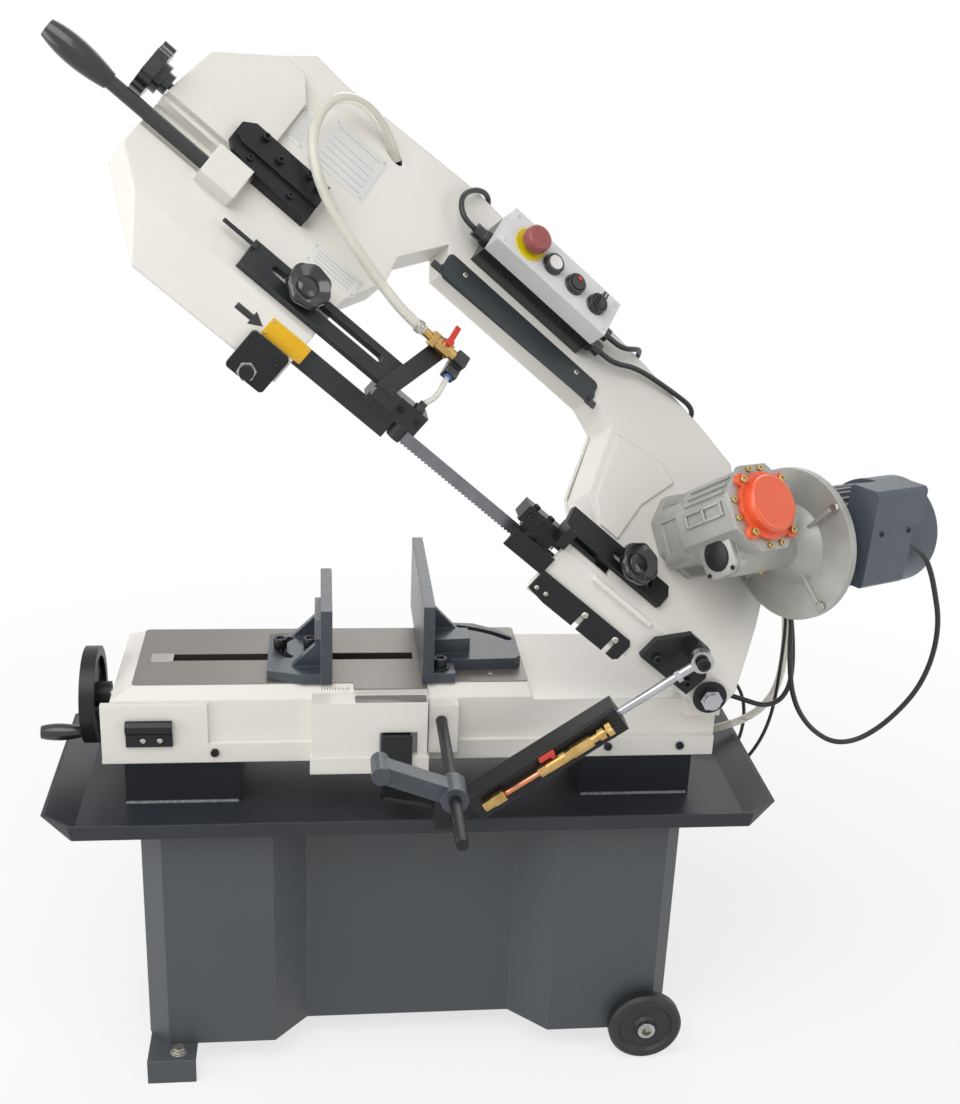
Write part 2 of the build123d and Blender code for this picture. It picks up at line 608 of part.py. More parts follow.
# Saw frame casting: a tray behind the slanting web, cut off by the upright skirt
FRAME = [
    (-1133, 46), (-1133, 139), (-1122, 246), (-1013, 379), (-961, 375), (-711, 396), (-345, 367), (-213, 350),
    (-135, 334), (13, 168), (20, 120), (28, -10), (28, -56), (-332, -56), (-332, 40), (-297, 67), (-334, 107),
    (-348, 228), (-395, 250), (-690, 250), (-708, 282), (-760, 201), (-755, 149), (-789, 84), (-796, 7),
    (-796, -56), (-1030, -56), (-1078, -8),
]
FRAME_REAR = FRAME[:7] + [(-205, 362), (-122, 354), (32, 186), (32, 120), (32, -10)] + FRAME[12:]


def cut_plane(d):
    """Upright plane d in front of the blade, facing the back."""
    return Plane(origin=PIVOT - Vector(0, d, 0), x_dir=(1, 0, 0), z_dir=(0, 1, 0))


with BuildPart() as frame_cavity:
    with BuildSketch(web(RIM_BACK - 1)):
        polygon(FRAME)
        offset(amount=-WALL, mode=Mode.REPLACE, kind=Kind.INTERSECTION)
    extrude(amount=WEB_FRONT - WEB_THICK - RIM_BACK + 1)
    disc(web(RIM_BACK - 1), (DRIVE_U, WHEEL_W), WHEEL_R + 5, WHEEL_HALF + 3 - RIM_BACK + 1)
    split(bisect_by=cut_plane(SKIRT - SKIRT_THICK), keep=Keep.TOP)

SLIDE_SLOT = (-961.0, -897.0, 133.6, 166.4)
PLATEAU_N = 52.0
with BuildPart() as saw_frame:
    prism(web(RIM_BACK), FRAME_REAR, 8 - RIM_BACK)
    with BuildSketch(web(8)):
        polygon(FRAME_REAR)
    with BuildSketch(web(WEB_FRONT - 6)):
        polygon(FRAME)
    loft(ruled=True)
    prism(web(WEB_FRONT - 6), FRAME, 6)
    split(bisect_by=cut_plane(SKIRT), keep=Keep.TOP)
    add(frame_cavity.part, mode=Mode.SUBTRACT)
    prism(skirt(SKIRT + 1), [(-340, -51), (60, -18), (60, -80), (-340, -80)], -60, Mode.SUBTRACT)
    disc(skirt(SKIRT - SKIRT_THICK), (0, 0), LUG_CLEAR_R, -140, Mode.SUBTRACT)
    disc(skirt(SKIRT), (0, 0), 30, -SKIRT_THICK)
    disc(skirt(SKIRT + 1), (0, 0), PIVOT_R + RUN, -SKIRT_THICK - 2, Mode.SUBTRACT)
    block(skirt(SKIRT - SKIRT_THICK), (-820, -60), (-770, 30), -46, Mode.SUBTRACT)
    block(skirt(SKIRT - SKIRT_THICK), (-350, -60), (-250, 56), -46, Mode.SUBTRACT)
    block(web(16), (-1133, 77), (-1036, 147), 26)
    block(web(24), (-1150, 85), (-1040, 139), 60, Mode.SUBTRACT)
    block(web(WEB_FRONT - 2), (-1040, 72), (-985, 128), 26)
    prism(web(WEB_FRONT - 2), [(-1132, 147), (-1122, 246), (-1045, 330), (-1010, 330), (-985, 290), (-985, 147)],
          PLATEAU_N - WEB_FRONT + 2)
    prism(web(WEB_FRONT - 2), [(-296, 74), (-322, 108), (-334, 224), (-250, 240), (-215, 225), (-250, 150),
                               (-262, 74)], 5)
    block(skirt(SKIRT - 2), (-268, 22), (-152, 30), 8)
    block(web(20), (SLIDE_SLOT[0], SLIDE_SLOT[2]), (SLIDE_SLOT[1], SLIDE_SLOT[3]), 60, Mode.SUBTRACT)
    disc(web(20), (DRIVE_U, WHEEL_W), 38, 40, Mode.SUBTRACT)
    disc(section(-1150), (TENSION_W, TENSION_N), TENSION_R + RUN, 180, Mode.SUBTRACT)

# Rear cover over the band wheels: a shallow pan
COVER = [
    (-1126, 60), (-1126, 139), (-1114, 242), (-1010, 370), (-961, 366), (-711, 387), (-345, 358), (-213, 341),
    (-140, 326), (5, 166), (8, 84), (-60, 84), (-60, 16), (-300, 16), (-306, 67), (-340, 112), (-352, 236),
    (-395, 260), (-692, 260), (-708, 296), (-768, 203), (-763, 148), (-797, 86), (-806, 12), (-1060, 12),
]
with BuildPart() as wheel_cover:
    prism(web(RIM_BACK), COVER, -4)
    with BuildSketch(web(RIM_BACK)):
        polygon(COVER)
        offset(amount=-3, mode=Mode.REPLACE, kind=Kind.INTERSECTION)
    extrude(amount=-2, mode=Mode.SUBTRACT)
    for knob_u in (IDLER_U, DRIVE_U):
        disc(web(RIM_BACK - 4), (knob_u, 240), 15, -16)

# Lift handle: rod and barrel grip
with BuildPart() as lift_handle:
    handle_axis = (HANDLE_W, HANDLE_N)
    disc(section(-1195), handle_axis, HANDLE_R, 155)
    grip_foot = bow_point(-1191, HANDLE_W, HANDLE_N)
    with BuildSketch(Plane(origin=grip_foot, x_dir=ACROSS, z_dir=OUT)):
        with BuildLine():
            Polyline((0, 96), (0, 0), (12, 0))
            Spline((12, 0), (16.5, 25), (18.5, 58), (12.5, 96))
            Line((12.5, 96), (0, 96))
        make_face()
    revolve(axis=Axis(grip_foot, ALONG))

# Tension gib: the black block that holds the idler slide on the web
GIB_N = WEB_FRONT + 12 + 2 * GAP
with BuildPart() as tension_gib:
    for low, high in ((128, 139 - GAP), (185 + GAP, 196)):
        block(web(WEB_FRONT), (-980, low), (-893, high), GIB_N - WEB_FRONT)
    prism(web(GIB_N), [(-1036, 150), (-1024, 136), (-985, 130), (-893, 128), (-893, 196), (-1020, 196),
                       (-1036, 182)], 8)
    prism(web(GIB_N + 8), [(-1032, 158), (-1020, 152), (-893, 152), (-893, 188), (-1016, 188), (-1032, 178)], 5)

# Idler slide with the idler shaft
with BuildPart() as idler_carriage:
    block(web(WEB_FRONT + GAP), (-970, 139), (-897, 185), 12)
    block(web(28), (-960, 139.2), (-908, 166), 20)
    disc(web(-WHEEL_HALF - 1), (IDLER_U, WHEEL_W), SHAFT_R, 45)
    disc(web(WHEEL_HALF + GAP), (IDLER_U, WHEEL_W), 22, 20)

with BuildPart() as tension_handwheel:
    wheel_axis = (TENSION_W, TENSION_N)
    lobed(section(-1172), wheel_axis, TENSION_WHEEL_R, 18, 8)
    disc(section(-1156), wheel_axis, 22, 12)
    disc(section(-1148), wheel_axis, 15, 14)
    disc(section(-1148), wheel_axis, TENSION_R, 176)


def band_wheel(centre_u, bore):
    """Band wheel turned about its shaft: rim, thin web and hub."""
    centre = bow_point(centre_u, WHEEL_W, 0)
    rim = WHEEL_R - 0.3
    half = WHEEL_HALF
    with BuildPart() as wheel:
        with BuildSketch(Plane(origin=centre, x_dir=ALONG, z_dir=ACROSS)) as wheel_section:
            polygon([(bore, -half), (30, -half), (34, -4), (rim - 16, -4), (rim - 12, -half), (rim, -half),
                     (rim, half), (rim - 12, half), (rim - 16, 4), (34, 4), (30, half), (bore, half)])
        revolve(wheel_section.sketch, axis=Axis(centre, OUT))
    return wheel


idler_wheel = band_wheel(IDLER_U, SHAFT_R + RUN)
drive_wheel = band_wheel(DRIVE_U, SHAFT_R)
with BuildPart() as drive_shaft:
    disc(web(-WHEEL_HALF - 2), (DRIVE_U, WHEEL_W), SHAFT_R, 70)
with BuildPart() as drive_wheel_assembly:
    add(drive_wheel.part)
    add(drive_shaft.part)

# Saw blade: one loop with two quarter-twisted runs and a toothed cutting run
with BuildPart() as saw_blade:
    half_width = BLADE_WIDTH / 2
    outer_r = WHEEL_R + BLADE_THICK
    for centre_u, sense in ((DRIVE_U, 1), (IDLER_U, -1)):
        with BuildSketch(web(-half_width)):
            with Locations((centre_u, WHEEL_W)):
                Circle(outer_r)
                Circle(WHEEL_R, mode=Mode.SUBTRACT)
            with Locations((centre_u - sense * 100, WHEEL_W)):
                Rectangle(200, 320, mode=Mode.SUBTRACT)
        extrude(amount=BLADE_WIDTH)
    block(web(-half_width), (IDLER_U, WHEEL_W + WHEEL_R), (DRIVE_U, WHEEL_W + outer_r), BLADE_WIDTH)
    for wheel_u, start_u, end_u in ((IDLER_U, IDLER_U + 26, CUT_LEFT_U), (DRIVE_U, DRIVE_U - 22, CUT_RIGHT_U)):
        block(web(-half_width), (min(wheel_u, start_u), -BLADE_THICK), (max(wheel_u, start_u), 0), BLADE_WIDTH)
        for step in range(4):
            for share in (step / 4, (step + 1) / 4):
                with BuildSketch(section(start_u + (end_u - start_u) * share)):
                    with Locations((-BLADE_THICK / 2, 0)):
                        Rectangle(BLADE_THICK, BLADE_WIDTH, rotation=-LEAN * share)
            loft(ruled=True)
    teeth = int((CUT_RIGHT_U - CUT_LEFT_U) / TOOTH_PITCH)
    edge = [(CUT_LEFT_U, half_width), (CUT_LEFT_U, -half_width)]
    for tooth in range(teeth):
        tooth_u = CUT_LEFT_U + tooth * TOOTH_PITCH
        edge.append((tooth_u + TOOTH_PITCH * 0.7, -half_width + TOOTH_DEPTH))
        edge.append((tooth_u + TOOTH_PITCH, -half_width))
    edge += [(CUT_RIGHT_U, -half_width), (CUT_RIGHT_U, half_width)]
    blade_mid = -BLADE_THICK / 2 * sin(lean)
    with BuildSketch(Plane(origin=PIVOT + LIFT * blade_mid + Vector(0, blade_mid + BLADE_THICK / 2, 0),
                           x_dir=ALONG, z_dir=(0, -1, 0))):
        polygon(edge)
    extrude(amount=BLADE_THICK)

# Left guide arm: slotted bar, roller block, tooth guard strip and the coolant arm
with BuildPart() as left_guide_arm:
    bar_n = WEB_FRONT + GAP
    block(web(bar_n), (-931, 9), (-670, 55), 12)
    with BuildSketch(web(bar_n)):
        with Locations(((-893 - 703) / 2, 37)):
            SlotOverall(190, 13)
    extrude(amount=12, mode=Mode.SUBTRACT)
    block(skirt(22), (-690, 13), (-603, 45), -40)
    block(skirt(44), (-690, 24), (-655, 48), -30)
    block(skirt(24), (-645, 11), (-600, 45), -48, Mode.SUBTRACT)
    block(skirt(22), (-650, 13), (-603, 45), -15)
    block(skirt(-8), (-650, 13), (-603, 45), -10)
    block(skirt(8), (-650, 20), (-603, 45), -17)
    for roller_y in (11.6 + 0.6, -11.6 - 0.6):
        roller = Plane(origin=PIVOT - Vector(0, roller_y, 0), x_dir=ALONG, z_dir=LIFT)
        disc(roller.offset(-8), (-622, 0), 11, 22)
    block(skirt(14), (-800, -16), (-635, 14), -3)
    block(skirt(14), (-800, -18), (-635, -15), -12)
    block(skirt(22), (-690, 10), (-640, 16), -11)
    prism(web(bar_n + 12), [(-694, -4), (-668, -4), (-628, 118), (-640, 134), (-654, 126)], 9)
    disc(section(-979), (44, 56), 3, 50)
    block(section(-931), (38, 42 + GAP), (50, 60), 6)

VALVE_U = -652.0
VALVE_W = 106.0
VALVE_N = 75.0
with BuildPart() as coolant_valve:
    for start, end, radius in ((-680, -668, 6.5), (-668, -658, 9), (-658, -634, 11), (-634, -622, 8)):
        disc(section(start), (VALVE_W, VALVE_N), radius, end - start)
    block(section(-646), (VALVE_W - 8, WEB_FRONT + GAP + 21), (VALVE_W + 8, VALVE_N), 10)
    disc(web(VALVE_N), (-646, VALVE_W), 4, 15)
    block(section(-625), (VALVE_W - 10, 58), (VALVE_W + 9, VALVE_N + 9), 18)
    block(section(-625), (VALVE_W - 26, 58), (VALVE_W + 9, VALVE_N), 18)

with BuildPart() as coolant_valve_lever:
    disc(web(VALVE_N + 15 + GAP), (-646, VALVE_W), 6, 5)
    block(web(VALVE_N + 15 + GAP), (-650, VALVE_W), (-642, VALVE_W + 30), 4)

# Right guide arm: bar on the web and the roller block in front of the drive wheel
with BuildPart() as right_guide_arm:
    prism(web(bar_n), [(-350, 24), (-350, 63), (-156, 63), (-150, 48), (-156, 24)], 10)
    with BuildSketch(web(bar_n)):
        with Locations((-222, 44)):
            SlotOverall(80, 13)
    extrude(amount=10, mode=Mode.SUBTRACT)
    block(skirt(19.5), (-410, 20), (-280, 45), -37.5)
    prism(skirt(44), [(-352, 30), (-352, 60), (-336, 60), (-336, 30)], -40)
    block(skirt(20.5), (-395, 11), (-350, 46), -44, Mode.SUBTRACT)
    block(skirt(19.5), (-400, 13), (-345, 45), -12)
    block(skirt(-8), (-400, 13), (-345, 45), -10)
    block(skirt(8), (-400, 22), (-345, 45), -17)
    for roller_y in (11.6 + 0.6, -11.6 - 0.6):
        roller = Plane(origin=PIVOT - Vector(0, roller_y, 0), x_dir=ALONG, z_dir=LIFT)
        disc(roller.offset(-8), (-376, 0), 11, 22)


def clamp_knob(centre_u, centre_w, foot_n):
    """Star knob with its stud."""
    with BuildPart() as knob:
        disc(web(WEB_FRONT - 6), (centre_u, centre_w), 5, 22)
        disc(web(foot_n), (centre_u, centre_w), 14, 8)
        lobed(web(foot_n + 6), (centre_u, centre_w), 30, 14, 7)
        disc(web(foot_n + 20), (centre_u, centre_w), 22, 9)
    return knob


left_clamp_knob = clamp_knob(-843, 37, WEB_FRONT + GAP + 12 + GAP)
right_clamp_knob = clamp_knob(-228, 44, WEB_FRONT + GAP + 10 + GAP)
with BuildPart() as stud_holes:
    disc(web(WEB_FRONT - 20), (-843, 37), 5 + RUN, 40)
    disc(web(WEB_FRONT - 20), (-228, 44), 5 + RUN, 40)

# Guards and stops on the bow
with BuildPart() as return_guard:
    prism(web(WEB_FRONT), [(-705, 236), (-692, 270), (-410, 270), (-398, 250), (-398, 232), (-690, 226)], 3)

with BuildPart() as lower_guard:
    prism(skirt(SKIRT), [(-332, -46), (-332, -12), (-158, -12), (-152, -18), (-152, -44), (-158, -50), (-300, -50)], 4)
    for slot_u in (-238.4, -176.5):
        block(skirt(SKIRT), (slot_u - 5, -60), (slot_u + 5, -25), 4, Mode.SUBTRACT)
    block(skirt(SKIRT), (-405, -20), (-332, 10), 4)

with BuildPart() as end_stop:
    with BuildSketch(skirt(SKIRT)):
        with Locations((-831, -41)):
            RectangleRounded(62, 62, 6)
    extrude(amount=8)
    disc(skirt(SKIRT + 8), (-834, -59), 10, 14)

with BuildPart() as rod_bracket:
    with BuildSketch(skirt(SKIRT)):
        polygon([(-133, -18), (-133, 16), (-98, 57), (-60, 56), (-32, 20), (-36, -18)])
    extrude(amount=14)
    disc(skirt(SKIRT + 12), FEED_HIGH, 15, PIVOT_Y - SKIRT - 12 - FEED_Y - 8 - GAP)
    disc(skirt(SKIRT + 12), FEED_HIGH, FEED_PIN_R, PIVOT_Y - SKIRT - 12 - FEED_Y + 12)

# Control box with its cable glands, and its controls
GLANDS = [(BOX_U[0], -24, 316, 66), (BOX_U[1], 24, 306, 62), (BOX_U[1], 24, 336, 66)]
with BuildPart() as control_box_base:
    block(web(WEB_FRONT), (BOX_U[0], BOX_W[0]), (BOX_U[1], BOX_W[1]), BOX_SPLIT_N - WEB_FRONT)
    block(web(WEB_FRONT + BOX_WALL), (BOX_U[0] + BOX_WALL, BOX_W[0] + BOX_WALL),
          (BOX_U[1] - BOX_WALL, BOX_W[1] - BOX_WALL), 60, Mode.SUBTRACT)
    for gland_u, reach_u, gland_w, gland_n in GLANDS:
        disc(section(gland_u), (gland_w, gland_n), 11, reach_u)

with BuildPart() as control_box_lid:
    block(web(BOX_SPLIT_N), (BOX_U[0], BOX_W[0]), (BOX_U[1], BOX_W[1]), BOX_FACE_N - BOX_SPLIT_N)
    block(web(BOX_SPLIT_N), (BOX_U[0] + BOX_WALL, BOX_W[0] + BOX_WALL),
          (BOX_U[1] - BOX_WALL, BOX_W[1] - BOX_WALL), BOX_FACE_N - BOX_SPLIT_N - BOX_WALL, Mode.SUBTRACT)
    for control_u in CONTROL_U:
        disc(web(BOX_FACE_N - 10), (control_u, CONTROL_W), 11 + RUN, 20, Mode.SUBTRACT)

with BuildPart() as estop_button:
    disc(web(BOX_FACE_N - 14), (CONTROL_U[0], CONTROL_W), 11, 24)
    disc(web(BOX_FACE_N + 10), (CONTROL_U[0], CONTROL_W), 20, 12)

with BuildPart() as start_button:
    disc(web(BOX_FACE_N - 14), (CONTROL_U[1], CONTROL_W), 11, 25)

with BuildPart() as stop_button:
    disc(web(BOX_FACE_N - 14), (CONTROL_U[2], CONTROL_W), 11, 25)

with BuildPart() as selector_switch:
    disc(web(BOX_FACE_N - 14), (CONTROL_U[3], CONTROL_W), 11, 24)
    block(web(BOX_FACE_N + 10), (CONTROL_U[3] - 4, CONTROL_W - 14), (CONTROL_U[3] + 4, CONTROL_W + 14), 10)

# Worm gearbox: foot plate, neck with its window, housing, worm tube and the motor's round flange
FOOT = [(-222, 138), (-222, 188), (-180, 232), (-110, 232), (-98, 206), (-98, 130), (-126, 102), (-186, 102)]
gear_centre = (DRIVE_U, WHEEL_W)
with BuildPart() as gearbox_housing:
    with BuildSketch(web(WEB_FRONT)) as foot_outline:
        polygon(FOOT)
        fillet(foot_outline.vertices(), 9)
    extrude(foot_outline.sketch, amount=GEAR_FOOT_N - WEB_FRONT)
    with BuildSketch(web(GEAR_FOOT_N)) as neck_outline:
        with Locations(gear_centre):
            RectangleRounded(98, 90, 12, rotation=WORM_ANGLE)
    extrude(neck_outline.sketch, amount=GEAR_HOUSING_N[0] - GEAR_FOOT_N)
    for foot_n, size, height in ((GEAR_HOUSING_N[0] - 6, 63, GEAR_HOUSING_N[1] - GEAR_HOUSING_N[0] + 6),
                                 (GEAR_HOUSING_N[1], 68, 8)):
        with BuildSketch(web(foot_n)) as housing_outline:
            with Locations(gear_centre):
                RegularPolygon(size, 8, rotation=22.5)
        extrude(housing_outline.sketch, amount=height)
    with BuildSketch(Plane(origin=WORM_FOOT, x_dir=WORM, z_dir=WORM_DOWN)) as turned_outline:
        polygon([(WORM_START_S, 0), (WORM_START_S, WORM_R), (FLANGE_S - 22, WORM_R), (FLANGE_S, 62),
                 (FLANGE_S, FLANGE_R), (FLANGE_S + 12, FLANGE_R), (FLANGE_S + 12, 94), (MOTOR_S, MOTOR_R + 4),
                 (MOTOR_S, 0)])
    revolve(turned_outline.sketch, axis=Axis(WORM_FOOT, WORM))
    with BuildSketch(worm(WORM_START_S)) as tube_end:
        RectangleRounded(64, 64, 16, rotation=-34)
    extrude(tube_end.sketch, amount=14)
    with BuildSketch(worm(FLANGE_S - 9)) as rib_outline:
        with PolarLocations(66, 4, 42):
            Rectangle(66, 5)
    extrude(rib_outline.sketch, amount=10)
    window_plane = Plane(origin=bow_point(DRIVE_U, WHEEL_W, 83) - WORM * 49, x_dir=OUT, z_dir=-WORM)
    block(window_plane.offset(-3), (-20, -24), (20, 24), 4, Mode.SUBTRACT)
    disc(web(WEB_FRONT - 1), gear_centre, SHAFT_R + RUN, 17, Mode.SUBTRACT)

with BuildPart() as gearbox_cover:
    with BuildSketch(web(GEAR_HOUSING_N[1] + 8)):
        with Locations(gear_centre):
            Circle(50)
            with PolarLocations(54, 4, -4):
                Circle(10)
    extrude(amount=8)
    disc(web(GEAR_HOUSING_N[1] + 16), gear_centre, 42, GEAR_CAP_N - GEAR_HOUSING_N[1] - 16)
    fillet(gearbox_cover.faces().sort_by(Axis(PIVOT, OUT))[-1].edges(), 6)

with BuildPart() as motor_body:
    with BuildSketch(worm(MOTOR_S)):
        Circle(MOTOR_R - 8)
        with PolarLocations(MOTOR_R - 6, 36):
            Rectangle(12, 3)
    extrude(amount=FAN_S - MOTOR_S)

with BuildPart() as fan_cover:
    with BuildSketch(worm(FAN_S)):
        Circle(FAN_R)
        Circle(FAN_R - 2.5, mode=Mode.SUBTRACT)
    extrude(amount=MOTOR_END_S - FAN_S)
    with BuildSketch(worm(MOTOR_END_S - 3)):
        Circle(FAN_R - 1)
        with PolarLocations(52, 12):
            Circle(9, mode=Mode.SUBTRACT)
    extrude(amount=3)
    disc(worm(FAN_S), (0, 0), FAN_R - 1, 4)

# Terminal box at the motor's side, with the gland of the motor cable
with BuildPart() as terminal_box:
    with BuildSketch(worm(TERMINAL_S[0])) as box_outline:
        polygon([(60, -103), (65, -108), (107, -108), (112, -103), (112, 34), (107, 39), (60, 39)])
    extrude(box_outline.sketch, amount=TERMINAL_S[1] - TERMINAL_S[0])
    with BuildSketch(worm(TERMINAL_S[1])) as top_outline:
        polygon([(60, -103), (65, -108), (107, -108), (112, -103), (112, -50), (60, -50)])
    extrude(top_outline.sketch, amount=TERMINAL_S[2] - TERMINAL_S[1])
    disc(worm(TERMINAL_S[0] - 1), (0, 0), MOTOR_R + 0.6, TERMINAL_S[2] - TERMINAL_S[0] + 2, Mode.SUBTRACT)
    disc(worm(TERMINAL_S[1]), MOTOR_GLAND, 10, GLAND_REACH)
motor_gland = worm(TERMINAL_S[1]).from_local_coords((MOTOR_GLAND[0], MOTOR_GLAND[1], 0))


# Cords: straight runs joined by tangent arcs
CABLE_R = 4.2
THIN_CABLE_R = 3.0


def tube(points, radius, name):
    """Round cord through the given points; prints its bend radii and its length."""
    corners = [Vector(*point) if isinstance(point, tuple) else point for point in points]
    radii = []
    for before, here, after in zip(corners, corners[1:], corners[2:]):
        turn = radians((here - before).get_angle(after - here))
        radii.append(0.45 * min((here - before).length, (after - here).length) / tan(turn / 2))
    with BuildPart() as cord:
        with BuildLine() as route:
            FilletPolyline(*corners, radius=radii)
        path = route.wires()[0]
        with BuildSketch(Plane(origin=path @ 0, z_dir=path % 0)) as round_section:
            Circle(radius)
        sweep(round_section.sketch, path=path)
    length = path.length
    fill = cord.part.volume / (3.14159265 * radius * radius * length)
    print(name, "radii", [round(r) for r in radii], "length", round(length), "fill", round(fill, 4))
    return cord


coolant_hose = tube([bow_point(*p) for p in [
    (-838, 336, 38), (-862, 344, 52), (-894, 348, 66), (-926, 340, 78), (-952, 318, 86), (-966, 284, 90),
    (-964, 246, 90), (-950, 210, 89), (-926, 182, 88), (-892, 158, 86), (-850, 140, 83), (-804, 126, 80),
    (-756, 114, 77), (-712, VALVE_W, VALVE_N), (-680.3, VALVE_W, VALVE_N),
]], 7.5, "coolant_hose")

nozzle_tube = tube([bow_point(*p) for p in [
    (-616, 79.7, 66), (-616, 64, 66), (-614, 50, 63), (-616, 37, 58), (-622, 27, 54),
]], 4, "nozzle_tube")

left_cable = tube([bow_point(*p) for p in [
    (-694.3, 316, 66), (-709, 316, 66), (-724, 324, 66), (-734, 342, 65), (-732, 364, 62), (-720, 386, 56),
    (-704, 402, 46), (-690, 408, 32), (-680, 402, 14), (-674, 390, 0),
]], CABLE_R, "left_cable")
right_cable = tube([bow_point(*p) for p in [
    (-432.7, 306, 62), (-414, 306, 62), (-394, 314, 60), (-372, 330, 58), (-346, 342, 55), (-312, 350, 53),
    (-276, 357, 51), (-248, 366, 44), (-230, 371, 32), (-220, 368, 16), (-214, 357, 2),
]], CABLE_R, "right_cable")
second_cable = tube([bow_point(*p) for p in [
    (-432.7, 336, 66), (-414, 336, 66), (-396, 344, 64), (-381, 360, 59), (-369, 375, 50), (-360, 383, 36),
    (-354, 380, 20), (-350, 368, 6), (-348, 360, -2),
]], CABLE_R, "second_cable")
with BuildPart() as control_cables:
    add(left_cable.part)
    add(right_cable.part)
    add(second_cable.part)

gland_end = motor_gland + WORM * (GLAND_REACH + 0.3)
motor_cable = tube([
    gland_end, gland_end + WORM * 18, at(899, 1, 203), at(917, 8, 172), at(932, 14, 134), at(946, 19, 92),
    at(952, 25, 48), at(950, 31, 2), at(939, 37, -42), at(918, 44, -82), at(890, 50, -118), at(857, 57, -144),
    at(822, 63, -150), at(788, 70, -131), at(763, 77, -101), at(749, 83, -66), at(743, 89, -27), at(740, 95, 12),
    at(741, 103, 50), at(735, 116, 82), at(719, 127, 106), at(697, 127, 117), at(669, 112, 122),
], CABLE_R, "motor_cable")

pump_cable = tube([
    at(659, 133, 129), at(688, 149, 125), at(718, 155, 107), at(739, 150, 76), at(746, 143, 36), at(746, 140, -8),
    at(745, 140, -56), at(744, 141, -104), at(739, 143, -150), at(729, 149, -192), at(714, 161, -232),
    at(694, 179, -266), at(664, 201, -295), at(628, 218, -316), at(588, 227, -328), at(STAND_RIGHT - 2, 228, -331),
], THIN_CABLE_R, "pump_cable")
switch_cable = tube([
    at(669, 96, 113), at(702, 105, 110), at(729, 107, 90), at(741, 106, 54), at(748, 105, 12), at(753, 105, -32),
    at(752, 106, -70), at(739, 109, -97), at(714, 114, -107), at(684, 121, -99), at(652, 129, -91),
    at(620, 136, -84), at(BED_RIGHT - 3, 141, -80),
], CABLE_R, "switch_cable")
lamp_cable = tube([
    at(BED_RIGHT - 3, 195, -68), at(624, 196, -70), at(656, 195, -78), at(684, 192, -95), at(702, 190, -122),
    at(710, 190, -156), at(710, 191, -192), at(703, 194, -226), at(687, 199, -254), at(660, 202, -276),
    at(626, 202, -290), at(588, 201, -298), at(STAND_RIGHT - 2, 200, -300),
], THIN_CABLE_R, "lamp_cable")
with BuildPart() as base_cables:
    add(pump_cable.part)
    add(switch_cable.part)
    add(lamp_cable.part)

SUPPLY_R = 6.5
supply_hose = tube([
    at(650, 152, 172), at(676, 166, 168), at(704, 177, 155), at(728, 182, 130), at(744, 181, 96), at(752, 177, 58),
    at(757, 172, 18), at(759, 168, -24), at(758, 166, -64), at(752, 165, -100), at(737, 165, -130),
    at(714, 165, -151), at(686, 165, -165), at(652, 165, -175), at(620, 165, -181), at(592, 165, -183),
    at(PEDESTAL_X[1] + PEDESTAL_WIDTH / 2 - 3, 165, -183.5),
], SUPPLY_R, "supply_hose")


def entry(start, end, radius):
    """Cable hole along the last run of a cord, from a little before its end."""
    run = (end - start).normalized()
    with BuildSketch(Plane(origin=end - run * 22, z_dir=run)) as outline:
        Circle(radius)
    extrude(outline.sketch, amount=40, mode=Mode.SUBTRACT)


with BuildPart() as saw_frame_drilled:
    add(saw_frame.part)
    add(stud_holes.part, mode=Mode.SUBTRACT)
    entry(bow_point(-862, 344, 52), bow_point(-838, 336, 38), 8.2)
    entry(bow_point(-680, 402, 14), bow_point(-674, 390, 0), 5.6)
    entry(bow_point(-220, 368, 16), bow_point(-214, 357, 2), 5.6)
    entry(bow_point(-350, 368, 6), bow_point(-348, 360, -2), 5.6)
    entry(at(697, 127, 117), at(669, 112, 122), 5.6)
    entry(at(688, 149, 125), at(659, 133, 129), 5.1)
    entry(at(702, 105, 110), at(669, 96, 113), 5.1)
    entry(at(676, 166, 168), at(650, 152, 172), 7.2)
with BuildPart() as stand_drilled:
    add(stand.part)
    entry(at(588, 227, -328), at(STAND_RIGHT - 2, 228, -331), 3.8)
    entry(at(588, 201, -298), at(STAND_RIGHT - 2, 200, -300), 3.8)
with BuildPart() as bed_drilled:
    add(bed.part)
    entry(at(620, 136, -84), at(BED_RIGHT - 3, 141, -80), 5.1)
    entry(at(624, 196, -70), at(BED_RIGHT - 3, 195, -68), 3.8)
with BuildPart() as pedestals_drilled:
    add(pedestals.part)
    entry(at(592, 165, -183), at(PEDESTAL_X[1] + PEDESTAL_WIDTH / 2 - 3, 165, -183.5), 7.2)

